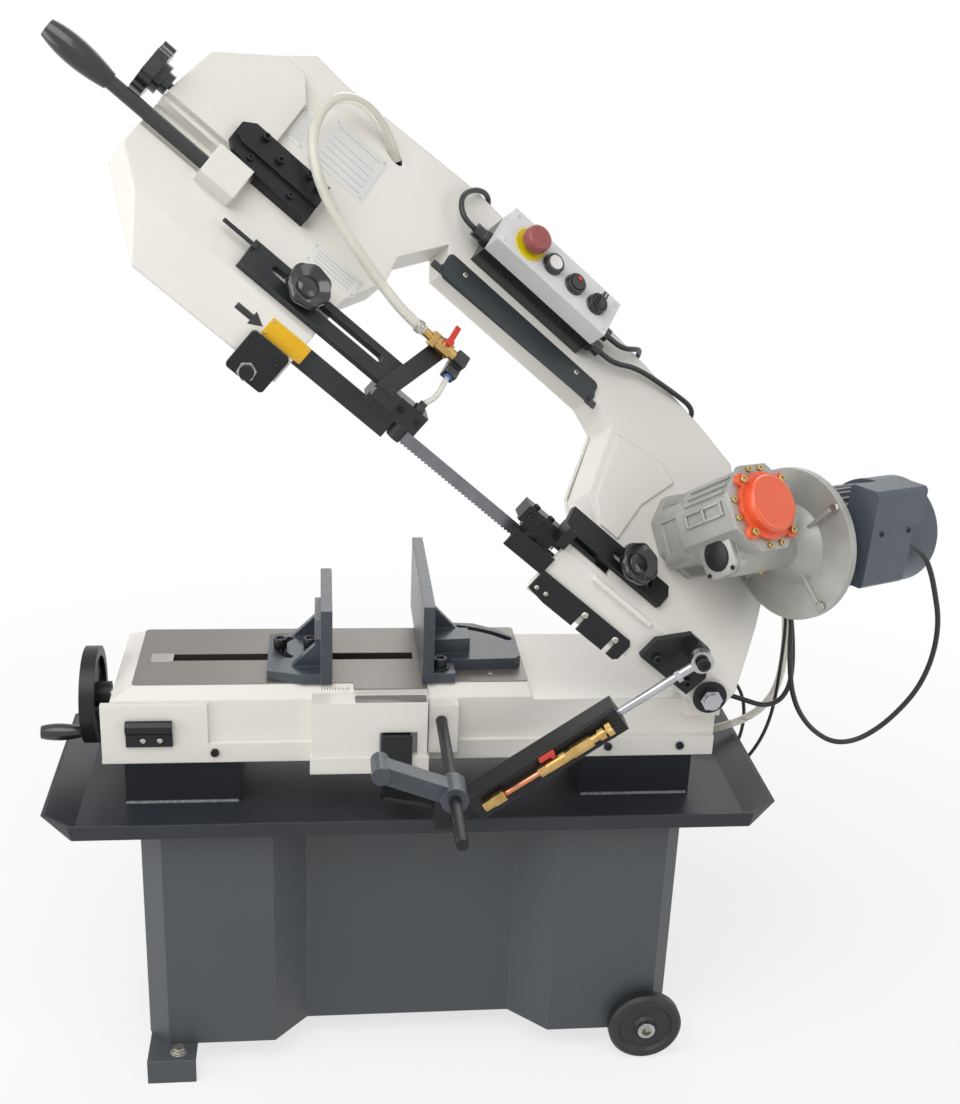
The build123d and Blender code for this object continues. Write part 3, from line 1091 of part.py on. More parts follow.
pieces = {
    "stand": stand_drilled, "chip_tray": chip_tray, "pedestals": pedestals_drilled, "foot_brackets": foot_brackets, "wheel_axle": wheel_axle,
    "front_wheel": front_wheel, "rear_wheel": rear_wheel, "coolant_tank": coolant_tank, "bed": bed_drilled,
    "stop_channel": stop_channel, "pivot_shaft": pivot_shaft, "cylinder_clevis": cylinder_clevis,
    "vise_screw": vise_screw, "vise_handwheel": vise_handwheel, "crank_grip": crank_grip,
    "jaw_carriage": jaw_carriage, "movable_jaw": movable_jaw, "fixed_jaw": fixed_jaw, "stop_rod": stop_rod,
    "stop_arm": stop_arm, "feed_cylinder": feed_cylinder, "feed_valve_train": feed_valve_train,
    "feed_valve_lever": feed_valve_lever, "piston_rod": piston_rod, "saw_frame": saw_frame_drilled,
    "wheel_cover": wheel_cover, "lift_handle": lift_handle, "tension_gib": tension_gib,
    "idler_carriage": idler_carriage, "tension_handwheel": tension_handwheel, "idler_wheel": idler_wheel,
    "drive_wheel": drive_wheel_assembly, "saw_blade": saw_blade, "left_guide_arm": left_guide_arm,
    "coolant_valve": coolant_valve, "coolant_valve_lever": coolant_valve_lever,
    "right_guide_arm": right_guide_arm, "left_clamp_knob": left_clamp_knob,
    "right_clamp_knob": right_clamp_knob, "return_guard": return_guard, "lower_guard": lower_guard,
    "end_stop": end_stop, "rod_bracket": rod_bracket, "control_box_base": control_box_base,
    "control_box_lid": control_box_lid, "estop_button": estop_button, "start_button": start_button,
    "stop_button": stop_button, "selector_switch": selector_switch, 
    "gearbox_housing": gearbox_housing, "gearbox_cover": gearbox_cover,
    "motor_body": motor_body, "fan_cover": fan_cover, "terminal_box": terminal_box,
    "coolant_hose": coolant_hose, "nozzle_tube": nozzle_tube, "control_cables": control_cables,
    "motor_cable": motor_cable, "base_cables": base_cables, "supply_hose": supply_hose,
}
for name, piece in pieces.items():
    piece.part.label = name
    export_step(piece.part, f"parts/{name}.step")

print("feed length", FEED_LENGTH, "pins", FEED_Q, FEED_P)
print("pivot", PIVOT, "worm foot", WORM_FOOT)
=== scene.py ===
# %% [markdown]
# # Dressing a metal cutting band saw
# The machine stands on a sheet-metal stand with a chip tray. A cast bed carries a mitre vise, and a
# slanting bow with two band wheels swings down over it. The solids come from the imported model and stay
# where they are. This lesson gives every one of them a surface, adds the cords, and models the small
# pieces that solids leave out: screws, nuts, bare plates, collars and weld seams.

import json
import math

import bpy
from mathutils import Matrix, Vector


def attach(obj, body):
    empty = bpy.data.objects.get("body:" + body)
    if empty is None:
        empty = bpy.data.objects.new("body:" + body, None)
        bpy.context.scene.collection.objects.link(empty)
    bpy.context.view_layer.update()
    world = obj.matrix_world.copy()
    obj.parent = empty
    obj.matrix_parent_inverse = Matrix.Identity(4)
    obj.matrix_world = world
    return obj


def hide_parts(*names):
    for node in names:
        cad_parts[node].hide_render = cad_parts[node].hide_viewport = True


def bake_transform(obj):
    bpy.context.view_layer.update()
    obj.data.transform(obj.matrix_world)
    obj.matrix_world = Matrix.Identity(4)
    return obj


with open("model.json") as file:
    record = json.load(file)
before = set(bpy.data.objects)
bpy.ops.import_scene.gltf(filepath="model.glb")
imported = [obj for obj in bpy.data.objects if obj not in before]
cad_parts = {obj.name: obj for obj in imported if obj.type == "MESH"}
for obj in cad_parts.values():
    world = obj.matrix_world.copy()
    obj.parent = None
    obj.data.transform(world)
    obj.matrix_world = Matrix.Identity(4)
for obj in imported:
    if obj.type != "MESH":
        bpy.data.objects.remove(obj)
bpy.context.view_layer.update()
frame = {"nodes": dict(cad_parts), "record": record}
print("solids loaded:", len(frame["nodes"]))

# %% [markdown]
# Every measure below is in millimetres, as on a drawing, and is turned to Blender's metres at the last
# moment. Two sets of directions place most of the machine. Base pieces are placed from the middle of the
# table's front edge. Bow pieces are placed from the bow's pivot: u runs down the slope to the pivot, w
# runs up across the wheels, and n stands out of the web towards the operator.

# %% Directions and places
MM = 0.001
TABLE = Vector((-247.5, 43.0, 648.0)) * MM
RISE = math.radians(40)
LEAN = math.radians(45)
UP = Vector((0, 0, 1))
BACK = Vector((0, 1, 0))
RIGHT = Vector((1, 0, 0))
ALONG = Vector((math.cos(RISE), 0, -math.sin(RISE)))
LIFT = Vector((math.sin(RISE), 0, math.cos(RISE)))
ACROSS = LIFT * math.cos(LEAN) + BACK * math.sin(LEAN)
OUT = LIFT * math.sin(LEAN) - BACK * math.cos(LEAN)
SKIRT_FRONT = 30.0


def on_table(x, y, z):
    """A place given in millimetres from the table's front edge."""
    return TABLE + Vector((x, y, z)) * MM


PIVOT = on_table(566, -32, 2)


def on_bow(u, w, n):
    """A place given in millimetres along, across and out of the bow's web."""
    return PIVOT + (ALONG * u + ACROSS * w + OUT * n) * MM


def on_skirt(u, v, d=0.0):
    """A place on the bow's upright front, along the bow and up, d millimetres proud of it."""
    return PIVOT + (ALONG * u + LIFT * v - BACK * (SKIRT_FRONT + d)) * MM


def basis(across, out):
    """Turn that lays local x along one direction and local z along another."""
    z = out.normalized()
    x = (across - z * across.dot(z)).normalized()
    return Matrix((x, z.cross(x), z)).transposed()


print("pivot at", [round(c, 4) for c in PIVOT])

# %% [markdown]
# The photograph was taken from in front, a little above the bow, with a normal lens. The camera is turned
# by three plain angles: yaw to the side, pitch down, and a slight roll. The lens follows from the
# picture's height.

# %% Camera
PICTURE_HEIGHT = 1104.0
FOCAL_PIXELS = 1420.8
SENSOR = 36.0
YAW = math.radians(-6.8425)
PITCH = math.radians(20.7565)
ROLL = math.radians(2.4221)
EYE = on_table(-13.8, -1932.3, 947.1)
forward = Vector((-math.sin(YAW) * math.cos(PITCH), math.cos(YAW) * math.cos(PITCH), -math.sin(PITCH)))
level_right = Vector((math.cos(YAW), math.sin(YAW), 0))
level_up = level_right.cross(forward)
camera_right = level_right * math.cos(ROLL) + level_up * math.sin(ROLL)
camera_up = level_up * math.cos(ROLL) - level_right * math.sin(ROLL)
scene = bpy.context.scene
bpy.ops.object.camera_add(location=EYE)
camera = bpy.context.object
camera.rotation_euler = Matrix((camera_right, camera_up, -forward)).transposed().to_euler()
camera.data.sensor_fit = "VERTICAL"
camera.data.sensor_height = SENSOR
camera.data.lens = FOCAL_PIXELS / PICTURE_HEIGHT * SENSOR
scene.camera = camera
scene.view_settings.view_transform = "Standard"
print("lens in millimetres:", round(camera.data.lens, 2))

# %% [markdown]
# A workshop machine is mostly paint on cast iron, powder coat on sheet steel, and bare or blackened
# steel. They share one recipe: a colour that drifts slowly over the surface, a fine grain that shows in
# the gloss and the relief, and a corner that a brush or a hand has rubbed a little. One helper adds a
# node, and one recipe joins the nodes, so each finish below is only its colours and its real sizes in
# millimetres.


# %% Helpers for finishes
def linear(code):
    """sRGB hex colour as the linear numbers that shaders use."""
    channels = [int(code[i:i + 2], 16) / 255 for i in (1, 3, 5)]
    return [c / 12.92 if c <= 0.04045 else ((c + 0.055) / 1.055) ** 2.4 for c in channels] + [1.0]


def in_use(sockets, name=None):
    """The first socket, of that name if one is given, which the node's settings leave in use."""
    return next(socket for socket in sockets if socket.enabled and name in (None, socket.name))


def add_node(tree, kind, sockets=None, **settings):
    """Adds a node, sets its properties, and fills its sockets with values, sockets or nodes."""
    node = tree.nodes.new(kind)
    for name, value in settings.items():
        setattr(node, name, value)
    for key, value in (sockets or {}).items():
        socket = node.inputs[key] if isinstance(key, int) else in_use(node.inputs, key)
        if isinstance(value, bpy.types.Node):
            value = in_use(value.outputs)
        if isinstance(value, bpy.types.NodeSocket):
            tree.links.new(value, socket)
        else:
            socket.default_value = value
    return node


def blank_material(name):
    """A new material, its node tree, and the socket that gives places on the object."""
    material = bpy.data.materials.new(name)
    material.use_nodes = True
    tree = material.node_tree
    tree.nodes.clear()
    return material, tree, add_node(tree, "ShaderNodeTexCoord").outputs["Object"]


def per_mm(size):
    """Pattern scale whose features are about this many millimetres across."""
    return 1.0 / (size * MM)


def rubbed_corners(tree, radius_mm):
    """Rounded shading normal, and a mask that is 1 on the corners and 0 on the flats."""
    soft = add_node(tree, "ShaderNodeBevel", {"Radius": radius_mm * MM}, samples=6)
    flat = add_node(tree, "ShaderNodeNewGeometry").outputs["Normal"]
    likeness = add_node(tree, "ShaderNodeVectorMath", {0: soft, 1: flat}, operation="DOT_PRODUCT")
    mask = add_node(tree, "ShaderNodeMapRange", {"Value": likeness, "From Min": 0.995, "From Max": 0.80})
    return soft, mask


ROUGH_SPREAD = 0.06


def finish(name, main, drift, corner, rough, grain_mm, relief_mm, corner_mm, drift_mm=140.0, metallic=0.0,
           stretch=(1.0, 1.0, 1.0), coat=0.0, cells=False, ior=1.5):
    """Paint, plastic or metal: drifting colour, grain in gloss and relief, rubbed corners."""
    material, tree, place = blank_material(name)
    drawn = add_node(tree, "ShaderNodeMapping", {"Vector": place, "Scale": stretch})
    slow = add_node(tree, "ShaderNodeTexNoise", {"Vector": place, "Scale": per_mm(drift_mm), "Detail": 4.0})
    if cells:
        fine = add_node(tree, "ShaderNodeTexVoronoi", {"Vector": drawn, "Scale": per_mm(grain_mm)},
                        feature="SMOOTH_F1")
    else:
        fine = add_node(tree, "ShaderNodeTexNoise", {"Vector": drawn, "Scale": per_mm(grain_mm),
                                                     "Detail": 2.0})
    spread = add_node(tree, "ShaderNodeMapRange", {"Value": slow, "From Min": 0.3, "From Max": 0.7})
    field = add_node(tree, "ShaderNodeMix", {"Factor": spread, "A": linear(main), "B": linear(drift)},
                     data_type="RGBA")
    normal, worn = rubbed_corners(tree, corner_mm)
    colour = add_node(tree, "ShaderNodeMix", {"Factor": worn, "A": field, "B": linear(corner)},
                      data_type="RGBA")
    gloss = add_node(tree, "ShaderNodeMapRange", {
        "Value": fine, "From Min": 0.3, "From Max": 0.7,
        "To Min": rough - ROUGH_SPREAD, "To Max": rough + ROUGH_SPREAD})
    bump = add_node(tree, "ShaderNodeBump", {"Height": fine, "Distance": relief_mm * MM, "Normal": normal})
    shader = add_node(tree, "ShaderNodeBsdfPrincipled", {
        "Base Color": colour, "Roughness": gloss, "Normal": bump, "Metallic": metallic, "IOR": ior,
        "Coat Weight": coat})
    add_node(tree, "ShaderNodeOutputMaterial", {"Surface": shader})
    return material


# %% [markdown]
# The finishes are named for what they are. The castings have filler and sprayed enamel, so the surface
# waves a little and shines softly. The stand is powder coat, with the fine dimples of an orange skin. The
# jaws are hammertone enamel, whose cells are a few millimetres wide. Rolled and ground steel keeps the
# fine lines of its tool, drawn coarser here than real ones so that they show in a picture. The numbers
# after the colours are the roughness, then the grain, the relief and the corner radius in millimetres.

# %% Finishes
FINISHES = {
    "casting": finish(
        "sprayed_enamel_on_iron", "#E9E6DF", "#E2DFD7", "#F1EFEA", 0.40, 3.0, 0.10, 4.0, drift_mm=220,
        coat=0.15),
    "stand_grey": finish(
        "powder_coat_grey", "#4B4F53", "#515457", "#74757A", 0.46, 1.4, 0.06, 2.2, drift_mm=320,
        ior=1.42),
    "tray_grey": finish(
        "powder_coat_dark", "#2C2F34", "#33363B", "#4C5056", 0.40, 1.4, 0.06, 1.6, drift_mm=260,
        ior=1.38),
    "jaw_grey": finish(
        "hammertone_enamel", "#363D43", "#424950", "#606970", 0.38, 3.2, 0.40, 1.6, drift_mm=60,
        cells=True, coat=0.2, ior=1.42),
    "black_steel": finish(
        "blackened_steel", "#191A1C", "#202123", "#3E4043", 0.36, 1.0, 0.03, 0.9, drift_mm=60, ior=1.36),
    "bright_steel": finish(
        "turned_steel", "#B9BABD", "#A5A7AB", "#D6D7DA", 0.24, 1.2, 0.02, 0.8, drift_mm=40, metallic=1.0),
    "blade_steel": finish(
        "rolled_spring_steel", "#7E8084", "#6E7074", "#C4C5C8", 0.34, 1.5, 0.02, 0.4, drift_mm=30,
        metallic=0.9, stretch=(0.15, 1.0, 1.0)),
    "cast_wheel": finish(
        "machined_iron", "#85868A", "#76777B", "#A8A9AC", 0.38, 1.5, 0.04, 1.0, drift_mm=60,
        metallic=0.8),
    "gear_alu": finish(
        "die_cast_aluminium", "#B2B2AD", "#A2A29C", "#CACAC6", 0.42, 1.6, 0.12, 1.6, drift_mm=45,
        metallic=0.25),
    "orange": finish(
        "orange_lacquer", "#F0663C", "#EA5C31", "#F6845F", 0.32, 1.6, 0.05, 1.2, coat=0.4, drift_mm=50),
    "motor_grey": finish(
        "cast_aluminium_fins", "#8C8E92", "#7B7D81", "#A9ABAF", 0.44, 1.4, 0.08, 0.8, drift_mm=50,
        metallic=0.3),
    "box_grey": finish(
        "grey_baked_enamel", "#E0E0DF", "#DADAD9", "#EAEAE9", 0.40, 1.6, 0.05, 1.6, drift_mm=90,
        coat=0.1),
    "slate": finish(
        "slate_moulding", "#48505A", "#4E5660", "#656D78", 0.42, 1.0, 0.05, 2.2, drift_mm=110),
    "black_plastic": finish(
        "black_phenolic", "#1D1E20", "#242528", "#3C3D40", 0.26, 2.0, 0.03, 1.4, drift_mm=60, coat=0.25),
    "red_plastic": finish(
        "red_moulding", "#D23B2A", "#C63424", "#E2604F", 0.34, 1.5, 0.03, 0.8),
    "estop_red": finish(
        "dull_red_moulding", "#8F4543", "#98504D", "#B06C68", 0.42, 1.5, 0.04, 1.4),
    "white_plastic": finish(
        "white_moulding", "#EDECE9", "#E6E5E2", "#F6F5F3", 0.36, 1.5, 0.03, 0.8),
    "brass": finish(
        "turned_brass", "#C8A76C", "#B59257", "#E2CA98", 0.28, 1.2, 0.03, 0.7, drift_mm=18, metallic=1.0),
    "yellow_zinc": finish(
        "yellow_passivated_zinc", "#C4B078", "#B09C62", "#DFD0A2", 0.30, 1.0, 0.03, 0.6, drift_mm=15,
        metallic=0.9),
    "cable": finish(
        "black_vinyl_jacket", "#1F2022", "#26272A", "#343538", 0.40, 1.2, 0.02, 0.5),
    "tyre": finish(
        "black_rubber", "#1B1C1E", "#232427", "#37383B", 0.48, 1.6, 0.05, 1.6),
    "tank": finish(
        "coated_tank_sheet", "#4A4C50", "#515357", "#6E7074", 0.48, 1.4, 0.05, 1.4),
    "yellow": finish(
        "yellow_moulding", "#E3CE1C", "#DAC41A", "#F0E04A", 0.40, 1.5, 0.03, 0.6),
    "copper": finish(
        "drawn_copper", "#D58C6A", "#C67C5B", "#E6AC90", 0.28, 1.2, 0.02, 0.5, metallic=1.0),
    "zinc": finish(
        "zinc_plated_steel", "#B8B6AC", "#A8A69C", "#D4D2CA", 0.32, 1.0, 0.03, 0.6, drift_mm=20,
        metallic=0.9),
    "dark_steel": finish(
        "oiled_steel_bar", "#2B2D30", "#36383B", "#67696C", 0.34, 1.3, 0.03, 0.9, drift_mm=60,
        metallic=0.25, ior=1.38),
    "guard": finish(
        "satin_guard_sheet", "#2F3537", "#353B3D", "#565C5E", 0.42, 1.4, 0.04, 1.4, drift_mm=120,
        ior=1.38),
    "weld": finish(
        "brushed_weld", "#55585B", "#85888A", "#A4A7A9", 0.42, 1.2, 0.15, 0.8, drift_mm=7),
}


def hose_finish(name, main, drift):
    """Milky vinyl: smooth, half clear, with a slow drift of colour."""
    material, tree, place = blank_material(name)
    slow = add_node(tree, "ShaderNodeTexNoise", {"Vector": place, "Scale": per_mm(60), "Detail": 2.0})
    colour = add_node(tree, "ShaderNodeMix", {"Factor": slow, "A": linear(main), "B": linear(drift)},
                      data_type="RGBA")
    shader = add_node(tree, "ShaderNodeBsdfPrincipled", {
        "Base Color": colour, "Roughness": 0.22, "IOR": 1.42, "Transmission Weight": 0.45,
        "Coat Weight": 0.3})
    add_node(tree, "ShaderNodeOutputMaterial", {"Surface": shader})
    return material


FINISHES["hose"] = hose_finish("milky_vinyl_hose", "#EFEDE4", "#E6E3D6")
print("finishes mixed:", len(FINISHES))

# %% [markdown]
# The bed is one casting, but its table is ground bare. The table stands 2 mm proud of the painted rim, so
# height alone tells paint from iron: everything above a plane just under the table top is ground iron,
# with the fine lines that a surface grinder leaves along the table. The T-slot and the hollow below it
# are coloured dark as painted shade.


# %% Bed casting with its ground table
def painted_slot_shade(tree, place):
    """1 in the T-slot and under the table, where shade is painted in as a dark colour, and 0 outside."""
    low = on_table(-268, 80.5, -200)
    high = on_table(131, 105.5, -0.4)
    rise = add_node(tree, "ShaderNodeVectorMath", {0: place, 1: low}, operation="SUBTRACT")
    fall = add_node(tree, "ShaderNodeVectorMath", {0: high, 1: place}, operation="SUBTRACT")
    least = add_node(tree, "ShaderNodeVectorMath", {0: rise, 1: fall}, operation="MINIMUM")
    x, y, z = add_node(tree, "ShaderNodeSeparateXYZ", {"Vector": least}).outputs
    flat = add_node(tree, "ShaderNodeMath", {0: x, 1: y}, operation="MINIMUM")
    every = add_node(tree, "ShaderNodeMath", {0: flat, 1: z}, operation="MINIMUM")
    return add_node(tree, "ShaderNodeMath", {0: every, 1: 0.0}, operation="GREATER_THAN")


def bed_finish(name, split_height):
    """Enamel below a height, ground iron above it, and painted shade in the T-slot and the hollow under it.
    """
    material, tree, place = blank_material(name)
    height = add_node(tree, "ShaderNodeSeparateXYZ", {"Vector": place}).outputs["Z"]
    ground = add_node(tree, "ShaderNodeMath", {0: height, 1: split_height}, operation="GREATER_THAN")
    slow = add_node(tree, "ShaderNodeTexNoise", {"Vector": place, "Scale": per_mm(180), "Detail": 5.0})
    passes = add_node(tree, "ShaderNodeMapping", {"Vector": place, "Scale": (0.03, 1.0, 1.0)})
    lines = add_node(tree, "ShaderNodeTexNoise", {"Vector": passes, "Scale": per_mm(1.6), "Detail": 3.0})
    skin = add_node(tree, "ShaderNodeTexNoise", {"Vector": place, "Scale": per_mm(3.0), "Detail": 2.0})
    paint = add_node(tree, "ShaderNodeMix", {
        "Factor": slow, "A": linear("#EAE7E0"), "B": linear("#E1DED6")}, data_type="RGBA")
    iron = add_node(tree, "ShaderNodeMix", {
        "Factor": lines, "A": linear("#76726D"), "B": linear("#8D8984")}, data_type="RGBA")
    stain = add_node(tree, "ShaderNodeMix", {"Factor": slow, "A": iron, "B": linear("#7B7671")},
                     data_type="RGBA")
    painted = add_node(tree, "ShaderNodeMix", {"Factor": ground, "A": paint, "B": stain}, data_type="RGBA")
    # Painted shade: the T-slot and the hollow under the table take a dark colour.
    inside = painted_slot_shade(tree, place)
    colour = add_node(tree, "ShaderNodeMix", {"Factor": inside, "A": painted, "B": linear("#3A3835")},
                      data_type="RGBA")
    relief = add_node(tree, "ShaderNodeMix", {"Factor": ground, "A": skin, "B": lines}, data_type="FLOAT")
    rough = add_node(tree, "ShaderNodeMapRange", {"Value": relief, "To Min": 0.34, "To Max": 0.46})
    metal = add_node(tree, "ShaderNodeMath", {0: ground, 1: 0.55}, operation="MULTIPLY")
    soft = add_node(tree, "ShaderNodeBevel", {"Radius": 2.5 * MM}, samples=6)
    bump = add_node(tree, "ShaderNodeBump", {"Height": relief, "Distance": 0.06 * MM, "Normal": soft})
    shader = add_node(tree, "ShaderNodeBsdfPrincipled", {
        "Base Color": colour, "Roughness": rough, "Metallic": metal, "Normal": bump})
    add_node(tree, "ShaderNodeOutputMaterial", {"Surface": shader})
    return material


FINISHES["bed"] = bed_finish("enamelled_bed_with_ground_table", on_table(0, 0, -1.9).z)

# %% [markdown]
# Each solid takes the finish that its record names. Three take a closer one: the bed, the left guide's
# bar and the return run's guard.

# %% Surfaces of the solids
CLOSER_FINISH = {"bed": "bed", "left_guide_arm": "dark_steel", "return_guard": "guard"}
record_slots = {row["node"]: row["material_slot"] for row in frame["record"]["subparts"]}


def cover(piece, finish_name):
    """Gives a piece its finish."""
    piece.data.materials.clear()
    piece.data.materials.append(FINISHES[finish_name])


for node_name, solid in frame["nodes"].items():
    cover(solid, CLOSER_FINISH.get(node_name, record_slots[node_name]))
print("solids covered:", len(frame["nodes"]))

# %% [markdown]
# Cords and hoses are soft, so each is one smooth curve with a round section, drawn through the same
# points as its solid. A cord that stays on one body can remain a curve. One that runs from the bow to the
# base, or to a guide that slides, would have to bend with the joint; here it is made a mesh that stays
# where it lies.


# %% Cord helpers
def cord_curve(name, points, radius_mm, finish_name):
    """Round cord as a smooth curve through control points."""
    shape = bpy.data.curves.new(name, "CURVE")
    shape.dimensions = "3D"
    shape.resolution_u = 10
    shape.bevel_depth = radius_mm * MM
    shape.bevel_resolution = 5
    shape.use_fill_caps = True
    route = shape.splines.new("NURBS")
    route.points.add(len(points) - 1)
    for control, place in zip(route.points, points):
        control.co = (*place, 1.0)
    route.order_u = 3
    route.use_endpoint_u = True
    piece = bpy.data.objects.new(name, shape)
    scene.collection.objects.link(piece)
    shape.materials.append(FINISHES[finish_name])
    return piece


def centre_line(piece):
    """Points along a cord's smooth curve, read from it with no thickness."""
    thickness = piece.data.bevel_depth
    piece.data.bevel_depth = 0.0
    bpy.context.view_layer.update()
    line = bpy.data.meshes.new_from_object(piece)
    places = [vertex.co.copy() for vertex in line.vertices]
    bpy.data.meshes.remove(line)
    piece.data.bevel_depth = thickness
    return places


def pick(*pieces):
    """Selects these pieces alone, the first of them active."""
    bpy.ops.object.select_all(action="DESELECT")
    for piece in pieces:
        piece.select_set(True)
    bpy.context.view_layer.objects.active = pieces[0]


def as_mesh(piece):
    """Turns a cord's curve into a mesh tube."""
    pick(piece)
    bpy.ops.object.convert(target="MESH")
    bpy.ops.object.shade_smooth()
    return bpy.context.object


def declare(piece, places, radius_mm, node_name, slot_name, **more):
    """Hides the solid that a cord stands for; its finish, length and diameter are not used."""
    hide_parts(node_name)


def still_cord(name, points, radius_mm, finish_name, body, node_name):
    """Cord that stays on one body, kept as a curve."""
    piece = cord_curve(name, points, radius_mm, finish_name)
    places = centre_line(piece)
    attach(piece, body)
    declare(piece, places, radius_mm, node_name, finish_name)


# %% Cords that stay on one body
CABLE_R = 4.2
THIN_CABLE_R = 3.0
SUPPLY_R = 6.5
HOSE_R = 7.5
NOZZLE_R = 4.0
CONTROL_CABLES = {
    "left_cable": [
        (-694.3, 316, 66), (-709, 316, 66), (-724, 324, 66), (-734, 342, 65), (-732, 364, 62),
        (-720, 386, 56), (-704, 402, 46), (-690, 408, 32), (-680, 402, 14), (-674, 390, 0)],
    "right_cable": [
        (-432.7, 306, 62), (-414, 306, 62), (-394, 314, 60), (-372, 330, 58), (-346, 342, 55),
        (-312, 350, 53), (-276, 357, 51), (-248, 366, 44), (-230, 371, 32), (-220, 368, 16), (-214, 357, 2)],
    "second_cable": [
        (-432.7, 336, 66), (-414, 336, 66), (-396, 344, 64), (-381, 360, 59), (-369, 375, 50),
        (-360, 383, 36), (-354, 380, 20), (-350, 368, 6), (-348, 360, -2)],
}
MOTOR_SIDE_POINTS = [
    (899, 1, 203), (917, 8, 172), (932, 14, 134), (946, 19, 92), (952, 25, 48), (950, 31, 2),
    (939, 37, -42), (918, 44, -82), (890, 50, -118), (857, 57, -144), (822, 63, -150), (788, 70, -131),
    (763, 77, -101), (749, 83, -66), (743, 89, -27), (740, 95, 12), (741, 103, 50), (735, 116, 82),
    (719, 127, 106), (697, 127, 117), (669, 112, 122),
]
NOZZLE_POINTS = [
    (-616, 79.7, 66), (-616, 64, 66), (-614, 50, 63), (-616, 37, 58), (-622, 27, 54),
]
LAMP_POINTS = [
    (589, 195, -68), (624, 196, -70), (656, 195, -78), (684, 192, -95), (702, 190, -122),
    (710, 190, -156), (710, 191, -192), (703, 194, -226), (687, 199, -254), (660, 202, -276),
    (626, 202, -290), (588, 201, -298), (547, 200, -300),
]
GEAR_U = -165
GEAR_W = 150
WORM_N = 158
WORM_ANGLE = math.radians(45)
WORM = ALONG * math.cos(WORM_ANGLE) + ACROSS * math.sin(WORM_ANGLE)
WORM_DOWN = ALONG * math.sin(WORM_ANGLE) - ACROSS * math.cos(WORM_ANGLE)
WORM_OFFSET = 49.5
WORM_FOOT = on_bow(GEAR_U, GEAR_W, WORM_N) + WORM_DOWN * WORM_OFFSET * MM
MOTOR_SIDE = WORM.cross(UP).normalized()
MOTOR_DOWN = WORM.cross(MOTOR_SIDE)


def on_worm(s, side, down):
    """A place along the worm and motor axis, sideways towards the operator, and down."""
    return WORM_FOOT + (WORM * s + MOTOR_SIDE * side + MOTOR_DOWN * down) * MM


GLAND_END = on_worm(256.3, 92, -5)
STRAIGHT_LEAD = 18
motor_points = [GLAND_END, GLAND_END + WORM * STRAIGHT_LEAD * MM]
motor_points += [on_table(*p) for p in MOTOR_SIDE_POINTS]
for cord_name, cord_points in CONTROL_CABLES.items():
    still_cord(cord_name, [on_bow(*p) for p in cord_points], CABLE_R, "cable", "bow", "control_cables")
still_cord("motor_lead", motor_points, CABLE_R, "cable", "bow", "motor_cable")
nozzle_points = [on_bow(*p) for p in NOZZLE_POINTS]
lamp_points = [on_table(*p) for p in LAMP_POINTS]
still_cord("nozzle_hose", nozzle_points, NOZZLE_R, "hose", "left_guide", "nozzle_tube")
still_cord("lamp_lead", lamp_points, THIN_CABLE_R, "cable", "base", "base_cables")

# %% Cords that run from one body to another
HOSE_POINTS = [
    (-838, 336, 38), (-862, 344, 52), (-894, 348, 66), (-926, 340, 78), (-952, 318, 86), (-966, 284, 90),
    (-964, 246, 90), (-950, 210, 89), (-926, 182, 88), (-892, 158, 86), (-850, 140, 83), (-804, 126, 80),
    (-756, 114, 77), (-712, 106, 75), (-680.3, 106, 75),
]
PUMP_POINTS = [
    (659, 133, 129), (688, 149, 125), (718, 155, 107), (739, 150, 76), (746, 143, 36), (746, 140, -8),
    (745, 140, -56), (744, 141, -104), (739, 143, -150), (729, 149, -192), (714, 161, -232),
    (694, 179, -266), (664, 201, -295), (628, 218, -316), (588, 227, -328), (547, 228, -331),
]
SWITCH_POINTS = [
    (669, 96, 113), (702, 105, 110), (729, 107, 90), (741, 106, 54), (748, 105, 12), (753, 105, -32),
    (752, 106, -70), (739, 109, -97), (714, 114, -107), (684, 121, -99), (652, 129, -91), (620, 136, -84),
    (589, 141, -80),
]
SUPPLY_POINTS = [
    (650, 152, 172), (676, 166, 168), (704, 177, 155), (728, 182, 130), (744, 181, 96), (752, 177, 58),
    (757, 172, 18), (759, 168, -24), (758, 166, -64), (752, 165, -100), (737, 165, -130),
    (714, 165, -151), (686, 165, -165), (652, 165, -175), (620, 165, -181), (592, 165, -183),
    (564, 165, -183.5),
]
BENDING_CORDS = [
    ("coolant_line", [on_bow(*p) for p in HOSE_POINTS], HOSE_R, "hose", "coolant_hose",
     ("bow", "left_guide"), on_bow(-950, 210, 88), on_bow(-712, 106, 75)),
    ("pump_lead", [on_table(*p) for p in PUMP_POINTS], THIN_CABLE_R, "cable", "base_cables",
     ("bow", "base"), on_table(739, 150, 76), on_table(714, 161, -232)),
    ("switch_lead", [on_table(*p) for p in SWITCH_POINTS], CABLE_R, "cable", "base_cables",
     ("bow", "base"), on_table(729, 107, 90), on_table(714, 114, -107)),
    ("supply_line", [on_table(*p) for p in SUPPLY_POINTS], SUPPLY_R, "hose", "supply_hose",
     ("bow", "base"), on_table(728, 182, 130), on_table(714, 165, -151)),
]
for cord_name, cord_points, cord_radius, finish_name, node_name, bodies, start, end in BENDING_CORDS:
    cord_piece = cord_curve(cord_name, cord_points, cord_radius, finish_name)
    places = centre_line(cord_piece)
    cord_piece = as_mesh(cord_piece)
    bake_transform(cord_piece)
    declare(cord_piece, places, cord_radius, node_name, finish_name, path=places)

# %% [markdown]
# The small pieces come next. Most of them are round, so they are made the way a lathe makes them: a disc
# is extruded and resized ring by ring along a profile of radius and height. With six sides in place of
# many the same profile gives a hexagon head. Flat plates start as a cube whose upright edges are bevelled
# round. A piece is modelled at the origin and its mesh is then moved to its place, so that every object
# keeps a plain transform.


